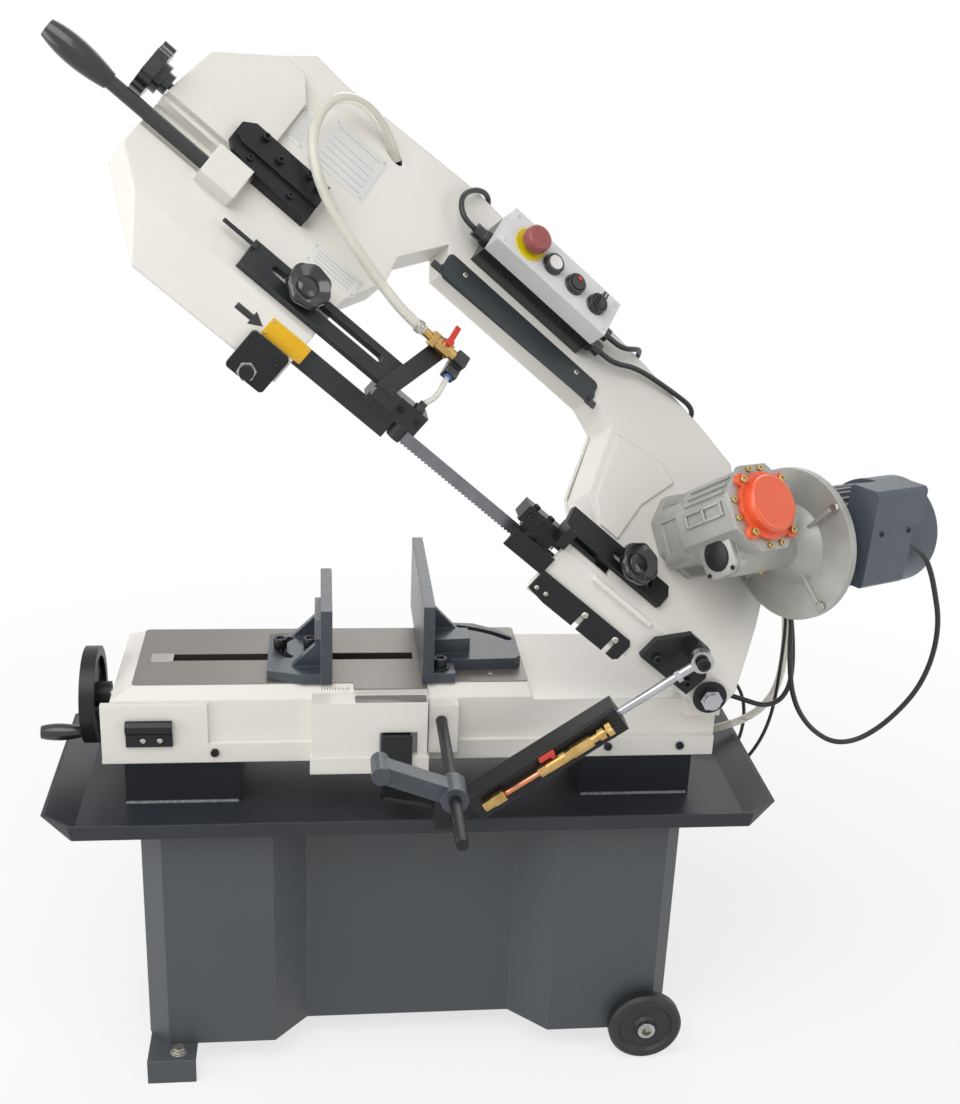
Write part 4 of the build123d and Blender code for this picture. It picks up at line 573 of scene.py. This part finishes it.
# %% Tools for small pieces
def turned(name, profile, sides=32):
    """Lathe form along pairs of radius and height, in millimetres."""
    radius, height = profile[0]
    bpy.ops.mesh.primitive_circle_add(vertices=sides, radius=radius * MM, fill_type="NGON",
                                      location=(0, 0, height * MM))
    piece = bpy.context.object
    piece.name = name
    bpy.ops.object.transform_apply(location=True, rotation=True, scale=True)
    bpy.ops.object.mode_set(mode="EDIT")
    bpy.ops.mesh.select_all(action="SELECT")
    for (last_radius, last_height), (radius, height) in zip(profile, profile[1:]):
        step = (0, 0, (height - last_height) * MM)
        bpy.ops.mesh.extrude_region_move(TRANSFORM_OT_translate={"value": step})
        growth = radius / last_radius
        bpy.ops.transform.resize(value=(growth, growth, 1.0), center_override=(0, 0, height * MM))
    bpy.ops.mesh.select_all(action="SELECT")
    bpy.ops.mesh.normals_make_consistent(inside=False)
    bpy.ops.object.mode_set(mode="OBJECT")
    return piece


def slab(name, length, width, thick, corner):
    """Plate with rounded corners and broken edges, lying at the origin."""
    bpy.ops.mesh.primitive_cube_add(size=1.0, location=(0, 0, thick / 2 * MM))
    piece = bpy.context.object
    piece.name = name
    piece.scale = (length * MM, width * MM, thick * MM)
    bpy.ops.object.transform_apply(location=True, rotation=True, scale=True)
    bpy.ops.object.mode_set(mode="EDIT")
    bpy.ops.mesh.select_mode(type="EDGE")
    bpy.ops.mesh.select_all(action="DESELECT")
    bpy.ops.object.mode_set(mode="OBJECT")
    for edge in piece.data.edges:
        first, second = (piece.data.vertices[i].co for i in edge.vertices)
        edge.select = abs(first.z - second.z) > thick / 2 * MM
    bpy.ops.object.mode_set(mode="EDIT")
    bpy.ops.mesh.bevel(offset=corner * MM, segments=5, affect="EDGES")
    bpy.ops.object.mode_set(mode="OBJECT")
    rim = piece.modifiers.new("broken_edge", "BEVEL")
    rim.width = min(0.25 * thick, 0.5 * corner) * MM
    rim.segments = 2
    rim.limit_method = "ANGLE"
    bpy.ops.object.modifier_apply(modifier=rim.name)
    return piece


PARALLEL = 0.95


def put(piece, place, out, across=UP):
    """Moves a mesh to its place, its height along one direction and its length along another."""
    lie = across if abs(out.normalized().dot(across.normalized())) < PARALLEL else RIGHT
    piece.data.transform(Matrix.Translation(place) @ basis(lie, out).to_4x4())
    return piece


def joined(name, pieces):
    """Several pieces as one object."""
    pick(*pieces)
    if len(pieces) > 1:
        bpy.ops.object.join()
    bpy.context.object.name = name
    return bpy.context.object


def dress(piece, finish_name, body, slot_name=None, node=None, crease=35):
    """Shading, finish and body of a piece, and the solid it stands for hidden; the slot is not used."""
    pick(piece)
    bpy.ops.object.shade_smooth_by_angle(angle=math.radians(crease))
    cover(piece, finish_name)
    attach(piece, body)
    if node:
        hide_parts(node)
    return piece


def fit(piece, place, out, across, *look):
    """Puts a piece in its place and dresses it: finish and body; the slot is not used."""
    return dress(put(piece, place, out, across), *look)


def ripple(piece, beyond_mm, sides, depth, group=1):
    """Moves every other group of a turned rim's points outwards, as a knurl does."""
    for vertex in piece.data.vertices:
        if vertex.co.xy.length > beyond_mm * MM:
            place = round(math.atan2(vertex.co.y, vertex.co.x) / (2 * math.pi) * sides)
            vertex.co.xy *= 1.0 + depth * (place // group % 2)


def copies(name, body, finish_name, rows, slot_name=None):
    """Copies of masters, each with its own mesh and size, as one piece."""
    made = []
    for master, place, out, radius, height in rows:
        mesh = master.data.copy()
        mesh.transform(Matrix.Diagonal((radius, radius, height, 1.0)))
        piece = bpy.data.objects.new(name, mesh)
        scene.collection.objects.link(piece)
        made.append(put(piece, place, out))
    return dress(joined(name, made), finish_name, body, slot_name)


# %% Masters of the fasteners, one millimetre in radius and in height
cap_screw = turned("cap_screw", [(0.97, 0), (1.0, 0.04), (1.0, 0.88), (0.9, 1.0), (0.6, 1.0), (0.55, 0.95),
                                 (0.53, 0.4), (0.02, 0.38)], 24)
hex_head = turned("hex_head", [(1.0, 0), (1.0, 0.8), (0.92, 1.0), (0.05, 1.0)], 6)
button_head = turned("button_head", [(1.0, 0), (0.97, 0.32), (0.86, 0.66), (0.66, 0.92), (0.48, 1.0),
                                     (0.42, 0.95), (0.4, 0.4), (0.02, 0.38)], 24)
plain_disc = turned("plain_disc", [(0.97, 0), (1.0, 0.05), (1.0, 0.8), (0.95, 1.0), (0.05, 1.0)], 40)
rivet_head = turned("rivet_head", [(1.0, 0), (0.88, 0.5), (0.6, 0.88), (0.1, 1.0)], 16)
MASTERS = [cap_screw, hex_head, button_head, plain_disc, rivet_head]
print("fastener masters:", len(MASTERS))

# %% [markdown]
# Every row below is one fastener: its master, its place, the way it faces, and its head radius and
# height. The rows of one body and one finish become one piece. Zinc screws hold the gearbox and the
# guards, black socket screws hold the brackets, and plain hexagons hold what a spanner reaches.

# %% Fasteners on the bow
FRONT = -BACK
BOX_FACE = 114
RIM_SCREW_R = 57
RIM_SCREW_ANGLES = (34, 57, 123, 146, 210, 236, 306, 330)
LOBE_R = 54
FLANGE_BOLT_R = 105
WORM_SCREW_R = 34
WORM_END_S = -49


def on_gear(radius, degrees, n):
    """A place on a circle round the gearbox shaft."""
    turn = math.radians(degrees)
    return on_bow(GEAR_U + radius * math.cos(turn), GEAR_W + radius * math.sin(turn), n)


def on_flange(degrees, radius, s):
    """A place on a circle square to the worm axis."""
    turn = math.radians(degrees)
    return on_worm(s, radius * math.cos(turn), radius * math.sin(turn))


lid_screws = [(button_head, on_bow(u, w, BOX_FACE), OUT, 3.6, 1.8)
              for u in (-661, -466) for w in (297, 347)]
gib_screws = [(cap_screw, on_bow(u, w, 67.8), OUT, 5.6, 7.0)
              for u, w in ((-1000, 182), (-968, 168), (-925, 182), (-906, 176))]
gib_flange_screws = [(cap_screw, on_bow(u, w, 62.8), OUT, 5.0, 4.0)
                     for u, w in ((-1000, 143), (-930, 139))]
stop_screws = [(cap_screw, on_skirt(u, -26.4, 8), FRONT, 5.2, 2.0) for u in (-855, -812)]
bracket_screws = [(cap_screw, on_skirt(u, -3.2, 14), FRONT, 7.0, 8.0) for u in (-112.3, -50.6)]
pin_screw = [(cap_screw, on_skirt(-77, 42, 62), FRONT, 10.0, 6.0)]
foot_plugs = [(cap_screw, on_bow(u, w, 54), OUT, 8.0, 9.0) for u, w in ((-200, 178), (-112, 216))]
worm_cap = [(plain_disc, on_worm(WORM_END_S, 0, 0), -WORM, 23.0, 3.0)]
worm_screws = [(cap_screw, on_flange(a, WORM_SCREW_R, WORM_END_S), -WORM, 3.4, 2.6)
               for a in (11, 101, 191, 281)]
terminal_screws = [(button_head, on_worm(s, 112, -43.7), MOTOR_SIDE, 4.5, 2.5) for s in (167, 229)]
gland_nuts = [(hex_head, on_bow(-670, 316, 66), -ALONG, 14.0, 9.0),
              (hex_head, on_bow(-457, 306, 62), ALONG, 14.0, 9.0),
              (hex_head, on_bow(-457, 336, 66), ALONG, 14.0, 9.0),
              (hex_head, on_worm(239, 92, -5), WORM, 13.0, 9.0)]
copies("lid_screws", "bow", "box_grey", lid_screws)
copies("bow_black_screws", "bow", "black_steel", gib_screws + gib_flange_screws + stop_screws
       + bracket_screws + pin_screw + foot_plugs + worm_cap + worm_screws + terminal_screws)
copies("gland_nuts", "bow", "black_plastic", gland_nuts)

rim_screws = [(cap_screw, on_gear(RIM_SCREW_R, a, 223), OUT, 4.4, 4.5) for a in RIM_SCREW_ANGLES]
lobe_screws = [(cap_screw, on_gear(LOBE_R, a, 231), OUT, 5.4, 5.0) for a in (-4, 86, 176, 266)]
flange_bolts = [(hex_head, on_flange(a, FLANGE_BOLT_R, 105), -WORM, 7.5, 6.0)
                for a in (42, 132, 222, 312)]
guard_screws = [(button_head, on_bow(u, w, 45), OUT, 4.6, 2.4) for u, w in ((-664.9, 256), (-442.7, 259))]
TOOTH_GUARD_SCREWS = ((-238.4, -25, 5.8), (-176.5, -25, 5.8), (-323, -38, 4.0), (-306, -37, 4.0))
tooth_guard_screws = [(button_head, on_skirt(u, v, 4), FRONT, radius, 3.0)
                      for u, v, radius in TOOTH_GUARD_SCREWS]
stop_nut = [(hex_head, on_skirt(-834, -59, 8), FRONT, 14.0, 7.0)]
copies("cover_screws", "bow", "yellow_zinc", rim_screws + lobe_screws, "bright_steel")
copies("bow_zinc_screws", "bow", "zinc", flange_bolts + guard_screws + tooth_guard_screws + stop_nut,
       "bright_steel")
end_turn = math.radians(34)
end_across = MOTOR_DOWN * math.cos(end_turn) + MOTOR_SIDE * math.sin(end_turn)
fit(slab("worm_end_boss", 64, 64, 9, 18), on_worm(-40.5, 0, 0), -WORM, end_across, "gear_alu", "bow")
FACET = 58.2
HALF = math.sqrt(0.5)
RIB_SECTION = (4, 4, 1.4)


def on_flank(t, n):
    """A place on the gearbox flank over the worm end."""
    return on_bow(GEAR_U + (t - FACET) * HALF, GEAR_W - (t + FACET) * HALF, n)


ribs = [put(slab("rib", 78, *RIB_SECTION), on_flank(t, 164), -WORM, OUT) for t in (-19, -1)]
ribs += [put(slab("rib", 22, *RIB_SECTION), on_flank(-10, n), -WORM, ALONG - ACROSS)
         for n in (128, 164, 200)]
ribs += [put(slab("rib", 82, *RIB_SECTION), on_bow(GEAR_U - FACET, GEAR_W + k, 164), -ALONG, OUT)
         for k in (-14, 0, 14)]
dress(joined("gearbox_ribs", ribs), "gear_alu", "bow")
copies("oil_plug", "bow", "brass", [(hex_head, on_worm(60, -8, 32), MOTOR_DOWN, 8.0, 10.0)])

# %% Fasteners on the base and the vise
bed_screws = [(cap_screw, on_table(x, -26, -101), FRONT, 6.4, 4.0) for x in (-171, 426, 539)]
mitre_bolt = [(cap_screw, on_table(176.7, 167.6, 18.2), UP, 10.0, 15.0)]
mitre_washer = [(plain_disc, on_table(176.7, 167.6, 18.1), UP, 13.0, 2.6)]
pivot_washer = [(plain_disc, on_table(566, -67.2, 2), FRONT, 26.0, 1.2)]
copies("base_black_screws", "base", "black_steel", bed_screws + mitre_bolt + mitre_washer + pivot_washer)
channel_screws = [(button_head, on_table(x, -31, -77.8), FRONT, 4.6, 2.4) for x in (-274.8, -250.2)]
foot_bolts = [(plain_disc, on_table(-236, y, -606), UP, 14.0, 2.0) for y in (-78, 272)]
foot_bolts += [(hex_head, on_table(-236, y, -604), UP, 10.0, 7.0) for y in (-78, 272)]
axle_nuts = [(hex_head, on_table(512, -94.4, -588), FRONT, 12.0, 1.6)]
copies("base_zinc_screws", "base", "zinc", channel_screws + foot_bolts + axle_nuts, "bright_steel")
copies("carriage_screws", "jaw_carriage", "black_steel", [
    (cap_screw, on_table(-76, 93, 17), UP, 10.6, 15.0),
    (cap_screw, on_table(-30, 93, 17), UP, 10.6, 15.0)])
copies("fixed_jaw_screw", "fixed_jaw", "black_steel", [
    (plain_disc, on_table(166, 14, 16.2), UP, 14.0, 2.6),
    (cap_screw, on_table(166, 14, 17), UP, 10.6, 16.0)])
right_screws = [(cap_screw, on_skirt(u, 33, -10.6), FRONT, 4.6, 4.0) for u in (-398, -372)]
right_screws += [(cap_screw, on_skirt(u, 44.9, -24), LIFT, 5.2, 5.0) for u in (-396, -368)]
copies("right_guide_screws", "right_guide", "black_steel", right_screws)
left_screws = [(cap_screw, on_skirt(u, 30, -8.1), FRONT, 4.6, 4.0) for u in (-640, -612)]
copies("left_guide_screws", "left_guide", "black_steel", left_screws)
print("fasteners placed")

# %% [markdown]
# Bare plates are riveted to the bow. They have rounded corners, a rivet in each corner, and on three of
# them a few plain rules. The return run's guard gets a rounded face with rubber ends, the jaws and the
# ledge get their ground faces as thin layers, and the T-slot's end gets a layer of the casting's enamel in
# a darker grey, as painted shade. A row of ticks along the rim serves as a scale.

# %% Bare plates, guard face and ground faces
FINISHES["bare_plate"] = finish(
    "bare_white_plate", "#E6E6E4", "#E0E0DE", "#F2F2F0", 0.34, 1.6, 0.02, 0.5)
FINISHES["plate_ink"] = finish(
    "grey_plate_ink", "#A3A4A4", "#999A9A", "#A9AAAA", 0.40, 1.6, 0.02, 0.3)
FINISHES["bare_yellow"] = finish(
    "bare_yellow_plate", "#E9B50C", "#E2AD08", "#F2C93A", 0.36, 1.6, 0.02, 0.5)
FINISHES["ground_face"] = finish(
    "ground_jaw_face", "#8A8784", "#7D7A77", "#A6A3A0", 0.40, 1.6, 0.04, 0.5, drift_mm=70, metallic=0.5,
    stretch=(1.0, 0.05, 1.0))
# Painted shade: the casting's enamel in a darker grey, as it looks deep in the slot's end.
FINISHES["slot_end"] = finish(
    "enamel_in_painted_shade", "#B9B4AD", "#A8A39C", "#C6C2BC", 0.42, 2.0, 0.06, 0.8, drift_mm=25)
PLATE_THICK = 0.8
PLATE_CORNER = 2.5
RIVET_R = 1.7
RIVET_H = 0.9


def riveted_plate(name, place, out, across, length, width, finish_name, rivet_in):
    """Bare plate with four rivets."""
    plate = slab(name, length, width, PLATE_THICK, PLATE_CORNER)
    fit(plate, place, out, across, finish_name, "bow", "white_plastic")
    side = out.cross(across).normalized()
    corners = [(x, y) for x in (-1, 1) for y in (-1, 1)]
    rows = [(rivet_head, place + out * PLATE_THICK * MM + across * (x * (length / 2 - rivet_in) * MM)
             + side * (y * (width / 2 - rivet_in) * MM), out, RIVET_R, RIVET_H) for x, y in corners]
    copies(name + "_rivets", "bow", "zinc", rows, "bright_steel")


def ruled(name, place, length, heights):
    """Plain rules across a plate on the bow's web, one at each height."""
    face = place + OUT * PLATE_THICK * MM
    rules = [put(slab("rule", length, 0.7, 0.15, 0.2), face + ACROSS * h * MM, OUT, ALONG) for h in heights]
    dress(joined(name, rules), "plate_ink", "bow", "white_plastic")


WEB_FRONT = 42
RATING = on_bow(-893, 274, WEB_FRONT)
CHART = on_bow(-968, 262, WEB_FRONT)
NOTICE = on_bow(-823, 109, WEB_FRONT)
riveted_plate("rating_plate", RATING, OUT, ALONG, 95, 88, "bare_plate", 5)
riveted_plate("chart_plate", CHART, OUT, ALONG, 30, 64, "bare_plate", 4)
riveted_plate("notice_plate", NOTICE, OUT, ALONG, 84, 33, "bare_plate", 4)
ruled("rating_rules", RATING, 76, (-34, -22, -10, 2, 14, 34))
ruled("chart_rules", CHART, 22, range(-24, 25, 4))
ruled("notice_rules", NOTICE, 62, (-9, -3, 3, 9))
riveted_plate("yellow_plate", on_skirt(-819, 4.2, 0), FRONT, ALONG, 65, 27, "bare_yellow", 4)

arrow_shaft = put(slab("arrow_shaft", 26, 9, 0.5, 0.6), on_skirt(-886, -1, 0), FRONT, ALONG)
arrow_head = turned("arrow_head", [(12.0, 0), (12.0, 0.5), (0.5, 0.5)], 3)
arrow_head.data.transform(Matrix.Rotation(math.radians(-90), 4, "Z"))
put(arrow_head, on_skirt(-867, -1, 0), FRONT, ALONG)
dress(joined("travel_arrow", [arrow_shaft, arrow_head]), "black_plastic", "bow")

guard_face = slab("guard_face", 300, 42, 1.6, 9)
fit(guard_face, on_bow(-551, 249.5, 44.9), OUT, ALONG, "guard", "bow", "black_steel")
guard_ends = [put(slab("guard_end", 20, 12, 4, 2.5), on_bow(u, 234, 42.5), OUT, ALONG)
              for u in (-706, -400)]
dress(joined("guard_ends", guard_ends), "black_plastic", "bow")
FACE_THICK = 0.4
GROUND_FACES = [
    ("fixed_face", 292, 119, 1.5, on_table(138, 141, 63.5), -RIGHT, BACK, "fixed_jaw"),
    ("movable_face", 169, 114, 1.5, on_table(3, 78.5, 61), RIGHT, BACK, "movable_jaw"),
    ("ledge_face", 106, 24, 2, on_table(90, -35, -11.1), UP, RIGHT, "base"),
]
for face_name, length, width, corner, place, out, across, body in GROUND_FACES:
    face = slab(face_name, length, width, FACE_THICK, corner)
    fit(face, place, out, across, "ground_face", body, "cast_wheel")

TICK_COUNT = 11
TICK_STEP = 4
LONG_TICK = 5.0
SHORT_TICK = 3.4
TICKS_PER_LONG = 5
RIM_SLOPE = 0.8
rim_out = (UP - BACK * RIM_SLOPE).normalized()
ticks = []
for tick in range(TICK_COUNT):
    height = LONG_TICK if tick % TICKS_PER_LONG == 0 else SHORT_TICK
    mark = slab("scale_tick", 0.9, height, 0.4, 0.2)
    ticks.append(put(mark, on_table(-12 + TICK_STEP * tick, -6.6, -7.3), rim_out, RIGHT))
dress(joined("cut_scale", ticks), "black_plastic", "base")
# Plate at the T-slot's end, coloured with the painted shade of its enamel floor.
slot_end = slab("slot_end", 34, 30, 1.2, 5)
fit(slot_end, on_table(-256, 93, -1.05), UP, RIGHT, "slot_end", "base", "casting")
print("plates and faces placed")

# %% [markdown]
# The controls are turned plastic. The emergency stop is a mushroom on a yellow ring. The start button has
# a white face in a tall black collar, the stop button a red lens at its far edge, and the selector a white
# strip along its lever as a painted highlight.

# %% Controls on the box
CONTROL_W = 321
ESTOP_U = -624
START_U = -580
STOP_U = -536
SELECTOR_U = -492
mushroom = turned("estop_mushroom", [(10.9, 0), (10.9, 20), (18.8, 20.2), (20.2, 21.4), (20.6, 24),
                                     (20.6, 31), (19.6, 35.2), (16.6, 37.4), (14.8, 37.6), (14.2, 37.0),
                                     (10, 37.4), (0.5, 37.6)], 48)
put(mushroom, on_bow(ESTOP_U, CONTROL_W, 104), OUT, ALONG)
dress(mushroom, "estop_red", "estop_button", "estop_red", "estop_button", crease=50)
ring = turned("estop_ring", [(25.5, 0), (25.5, 1.4), (25.0, 1.8), (16, 1.8), (15.4, 1.2), (11.2, 1.2)], 48)
fit(ring, on_bow(ESTOP_U, CONTROL_W, BOX_FACE), OUT, ALONG, "yellow", "bow", "orange")
COLLAR = [(16.4, 0), (16.4, 1.6), (15.4, 2.2), (15.4, 8.6), (14.8, 9.6), (12.4, 9.6), (11.6, 9.0),
          (11.6, 0.4)]
collars = [put(turned("button_collar", COLLAR, 40), on_bow(u, CONTROL_W, BOX_FACE), OUT, ALONG)
           for u in (START_U, STOP_U, SELECTOR_U)]
dress(joined("button_collars", collars), "black_plastic", "bow")
lens = turned("stop_lens", [(3.4, 0), (3.4, 1.2), (2.8, 2.0), (0.4, 2.4)], 24)
fit(lens, on_bow(STOP_U, CONTROL_W + 7, 125), OUT, ALONG, "red_plastic", "stop_button")
# Painted highlight: a white strip along the selector's lever.
highlight_strip = slab("selector_highlight_strip", 8, 1.6, 0.6, 0.5)
fit(highlight_strip, on_bow(SELECTOR_U, CONTROL_W + 9, 134), OUT, ACROSS, "white_plastic", "selector_switch")

# %% [markdown]
# The two clamp knobs have a dished face, a flat centre and seven soft lobes round the rim. The lobes are
# pressed into the turned form by moving the rim's points in and out with the angle.

# %% Clamp knobs
FINISHES["polished_black"] = finish(
    "polished_phenolic", "#141517", "#191A1C", "#2B2C2E", 0.17, 6.0, 0.005, 0.5, drift_mm=80, coat=0.4)
LOBES = 7
LOBE_DEPTH = 0.035
LOBE_START = 27.8
LOBE_BLEND = 2.0


def star_knob(name, node, u, w, foot_n):
    """Dished knob with seven lobes."""
    knob = turned(name, [(13, 0), (13.6, 1), (13.6, 6.4), (21, 7.4), (27.6, 10), (30.6, 14), (31.4, 19),
                         (31, 23.6), (30, 26.6), (28.6, 27.8), (27, 27.4), (16.8, 20.4), (15.4, 19.8),
                         (14.6, 20.8), (0.6, 21.2)], 84)
    for vertex in knob.data.vertices:
        share = min(1.0, max(0.0, (vertex.co.xy.length / MM - LOBE_START) / LOBE_BLEND))
        turn = math.atan2(vertex.co.y, vertex.co.x)
        vertex.co.xy *= 1.0 + LOBE_DEPTH * share * math.cos(LOBES * turn)
    put(knob, on_bow(u, w, foot_n), OUT, ALONG)
    dress(knob, "polished_black", node, "black_plastic", node, crease=50)


star_knob("left_knob_form", "left_clamp_knob", -843, 37, 54.8)
star_knob("right_knob_form", "right_clamp_knob", -228, 44, 52.8)
print("controls and knobs placed")

# %% [markdown]
# Fittings of the coolant line: a clamp band on the hose with its lug, a hexagon on the valve, a black
# elbow over the end of the valve arm, and the blue release ring from which the clear tube runs down to
# the nozzle.

# %% Coolant fittings on the left guide
FINISHES["blue_ring"] = finish("blue_moulding", "#3C78C2", "#356FB8", "#6FA0D8", 0.34, 1.4, 0.02, 0.5)
clamp_band = turned("clamp_band", [(8.4, 0), (9.2, 0.6), (9.4, 1.2), (9.4, 7.8), (9.2, 8.4), (8.4, 9)], 40)
put(clamp_band, on_bow(-694, 106, 75), ALONG, OUT)
clamp_lug = put(slab("clamp_lug", 9, 8, 9, 1.5), on_bow(-689.5, 98, 82), OUT - ACROSS, ALONG)
dress(joined("hose_clamp", [clamp_band, clamp_lug]), "zinc", "left_guide", "bright_steel")
valve_hex = turned("valve_hex", [(11.6, 0), (12.2, 1), (12.2, 9), (11.6, 10), (6, 10.2)], 6)
put(valve_hex, on_bow(-668.5, 106, 75), ALONG, OUT)
valve_stem = turned("valve_stem", [(5.4, 0), (5.4, 6), (4.6, 7), (4.6, 14.6)], 24)
put(valve_stem, on_bow(-646, 106, 80), OUT)
dress(joined("valve_fittings", [valve_hex, valve_stem]), "brass", "left_guide")
elbow_run = put(slab("elbow_run", 19.8, 20.8, 28, 2.6), on_bow(-616, 105.5, 57), OUT, ALONG)
elbow_drop = put(slab("elbow_drop", 19.8, 18.8, 27, 2.6), on_bow(-616, 106, 66.5), -ACROSS, ALONG)
dress(joined("tube_elbow", [elbow_run, elbow_drop]), "black_plastic", "left_guide")
release = turned("release_ring", [(6.4, 0), (6.6, 0.6), (6.6, 2.6), (6.0, 3.2), (4.2, 3.2)], 32)
fit(release, on_bow(-616, 80, 66), -ACROSS, OUT, "blue_ring", "left_guide", "black_plastic")
nozzle_nut = turned("nozzle_nut", [(7.4, 0), (8.2, 0.8), (8.2, 7), (7.4, 7.8), (5.8, 8.2), (5.8, 13.4),
                                   (5.2, 14)], 36)
ripple(nozzle_nut, beyond_mm=8.0, sides=36, depth=0.08, group=2)
fit(nozzle_nut, on_skirt(-622, 45, -12), LIFT, ALONG, "black_plastic", "left_guide")

# %% [markdown]
# The feed cylinder has a copper pipe between its brass fittings, and a knurled brass knob at the upper
# end. The knurl is a turned knob whose rim points stand in and out by turns. Weld seams close the
# pedestals' front feet: one bead is modelled, then laid side by side along the seam.

# %% Feed pipe, needle knob and weld seams
FEED_START = on_table(180, -112, -166)
FEED_END = on_skirt(-77, 42, 50)
FEED_DIRECTION = (FEED_END - FEED_START).normalized()
FEED_ACROSS = FEED_DIRECTION.cross(BACK)


def on_feed(s, back, side):
    """A place along the feed cylinder, towards the back, and across it."""
    return FEED_START + (FEED_DIRECTION * s + BACK * back + FEED_ACROSS * side) * MM


pipe = turned("feed_pipe", [(3.5, 0), (3.9, 0.6), (3.9, 59.4), (3.5, 60)], 24)
fit(pipe, on_feed(90, -31.5, 2), FEED_DIRECTION, BACK, "copper", "feed_cylinder", "brass")
knob = turned("needle_knob", [(8.6, 0), (9.5, 0.8), (9.5, 9.2), (8.6, 10), (3, 10.2)], 60)
ripple(knob, beyond_mm=9.2, sides=60, depth=0.05)
fit(knob, on_feed(265, -31.5, 2), FEED_DIRECTION, BACK, "brass", "feed_cylinder")

bpy.ops.mesh.primitive_uv_sphere_add(segments=12, ring_count=8, radius=1.0 * MM)
weld_bead = bpy.context.object
weld_bead.name = "weld_bead"
bpy.ops.object.mode_set(mode="EDIT")
bpy.ops.mesh.select_all(action="SELECT")
bpy.ops.mesh.bisect(plane_co=(0, 0, 0), plane_no=(0, 0, 1), clear_inner=True, use_fill=True)
bpy.ops.object.mode_set(mode="OBJECT")
BEAD_STEP = 4.2
BEADS = 40
SEAM_STARTS = (-305.5, 397)
SEAM_OUT = (UP - BACK).normalized()
seam = [(weld_bead, on_table(left + BEAD_STEP * i, -0.6, -199.4), SEAM_OUT, 3.6, 2.2)
        for left in SEAM_STARTS for i in range(BEADS)]
copies("weld_seams", "base", "weld", seam, "tray_grey")
for master in MASTERS + [weld_bead]:
    bpy.data.objects.remove(master)
print("fittings placed")


# %% [markdown]
# The stage is a plain pale floor under a white sky. The camera sees both as white, and the floor keeps a
# soft shadow near the machine. The lamps stay at a level at which a painted colour looks as it is
# written. A broad lamp above does most of the work, two soft ones at the sides keep the dark stand
# readable, and one behind lights the rear.


# %% Floor, sky and lamps
def seen_directly(tree):
    """1 where the camera, a reflection or a clear piece looks, and 0 for light on the object."""
    rays = add_node(tree, "ShaderNodeLightPath").outputs
    both = add_node(tree, "ShaderNodeMath", {0: rays["Is Camera Ray"], 1: rays["Is Glossy Ray"]},
                    operation="MAXIMUM")
    return add_node(tree, "ShaderNodeMath", {0: both, 1: rays["Is Transmission Ray"]},
                    operation="MAXIMUM")


FLOOR_SIZE = 60.0
FLOOR_DROP = 0.5 * MM
SKY_LIGHT = 0.33
bpy.ops.mesh.primitive_plane_add(size=FLOOR_SIZE, location=(0, 0, -FLOOR_DROP))
floor = bpy.context.object
floor.name = "floor"
floor_paint, tree, place = blank_material("pale_studio_floor")
matt = add_node(tree, "ShaderNodeBsdfDiffuse", {"Color": linear("#F6F6F5")})
glow = add_node(tree, "ShaderNodeEmission", {"Color": (1, 1, 1, 1), "Strength": 1.0})
reach = add_node(tree, "ShaderNodeVectorMath", {0: place}, operation="LENGTH")
paling = add_node(tree, "ShaderNodeMapRange", {"Value": reach, "From Min": 0.7, "From Max": 2.2,
                                               "To Min": 0.72})
share = add_node(tree, "ShaderNodeMath", {0: seen_directly(tree), 1: paling}, operation="MULTIPLY")
mixed = add_node(tree, "ShaderNodeMixShader", {0: share, 1: matt, 2: glow})
add_node(tree, "ShaderNodeOutputMaterial", {"Surface": mixed})
floor.data.materials.append(floor_paint)

sky = scene.world or bpy.data.worlds.new("studio_sky")
scene.world = sky
sky.use_nodes = True
tree = sky.node_tree
tree.nodes.clear()
strength = add_node(tree, "ShaderNodeMapRange", {"Value": seen_directly(tree), "To Min": SKY_LIGHT})
white = add_node(tree, "ShaderNodeBackground", {"Color": (1, 1, 1, 1), "Strength": strength})
add_node(tree, "ShaderNodeOutputWorld", {"Surface": white})

LAMPS = [
    ("key_softbox", (-0.9, -1.6, 3.4), (0.0, 0.0, 0.8), 2.6, 68.0),
    ("left_softbox", (-3.1, -0.6, 1.1), (0.0, 0.0, 0.6), 2.0, 36.0),
    ("right_softbox", (3.0, -1.8, 1.8), (0.1, 0.0, 0.7), 2.0, 20.0),
    ("back_softbox", (0.6, 2.8, 2.6), (0.0, 0.0, 0.8), 2.2, 23.0),
]
for lamp_name, place, aim, width, power in LAMPS:
    bpy.ops.object.light_add(type="AREA", location=place)
    lamp = bpy.context.object
    lamp.name = lamp_name
    lamp.data.shape = "SQUARE"
    lamp.data.size = width
    lamp.data.energy = power
    lamp.rotation_euler = (Vector(aim) - Vector(place)).to_track_quat("-Z", "Y").to_euler()
print("lamps:", len(LAMPS))
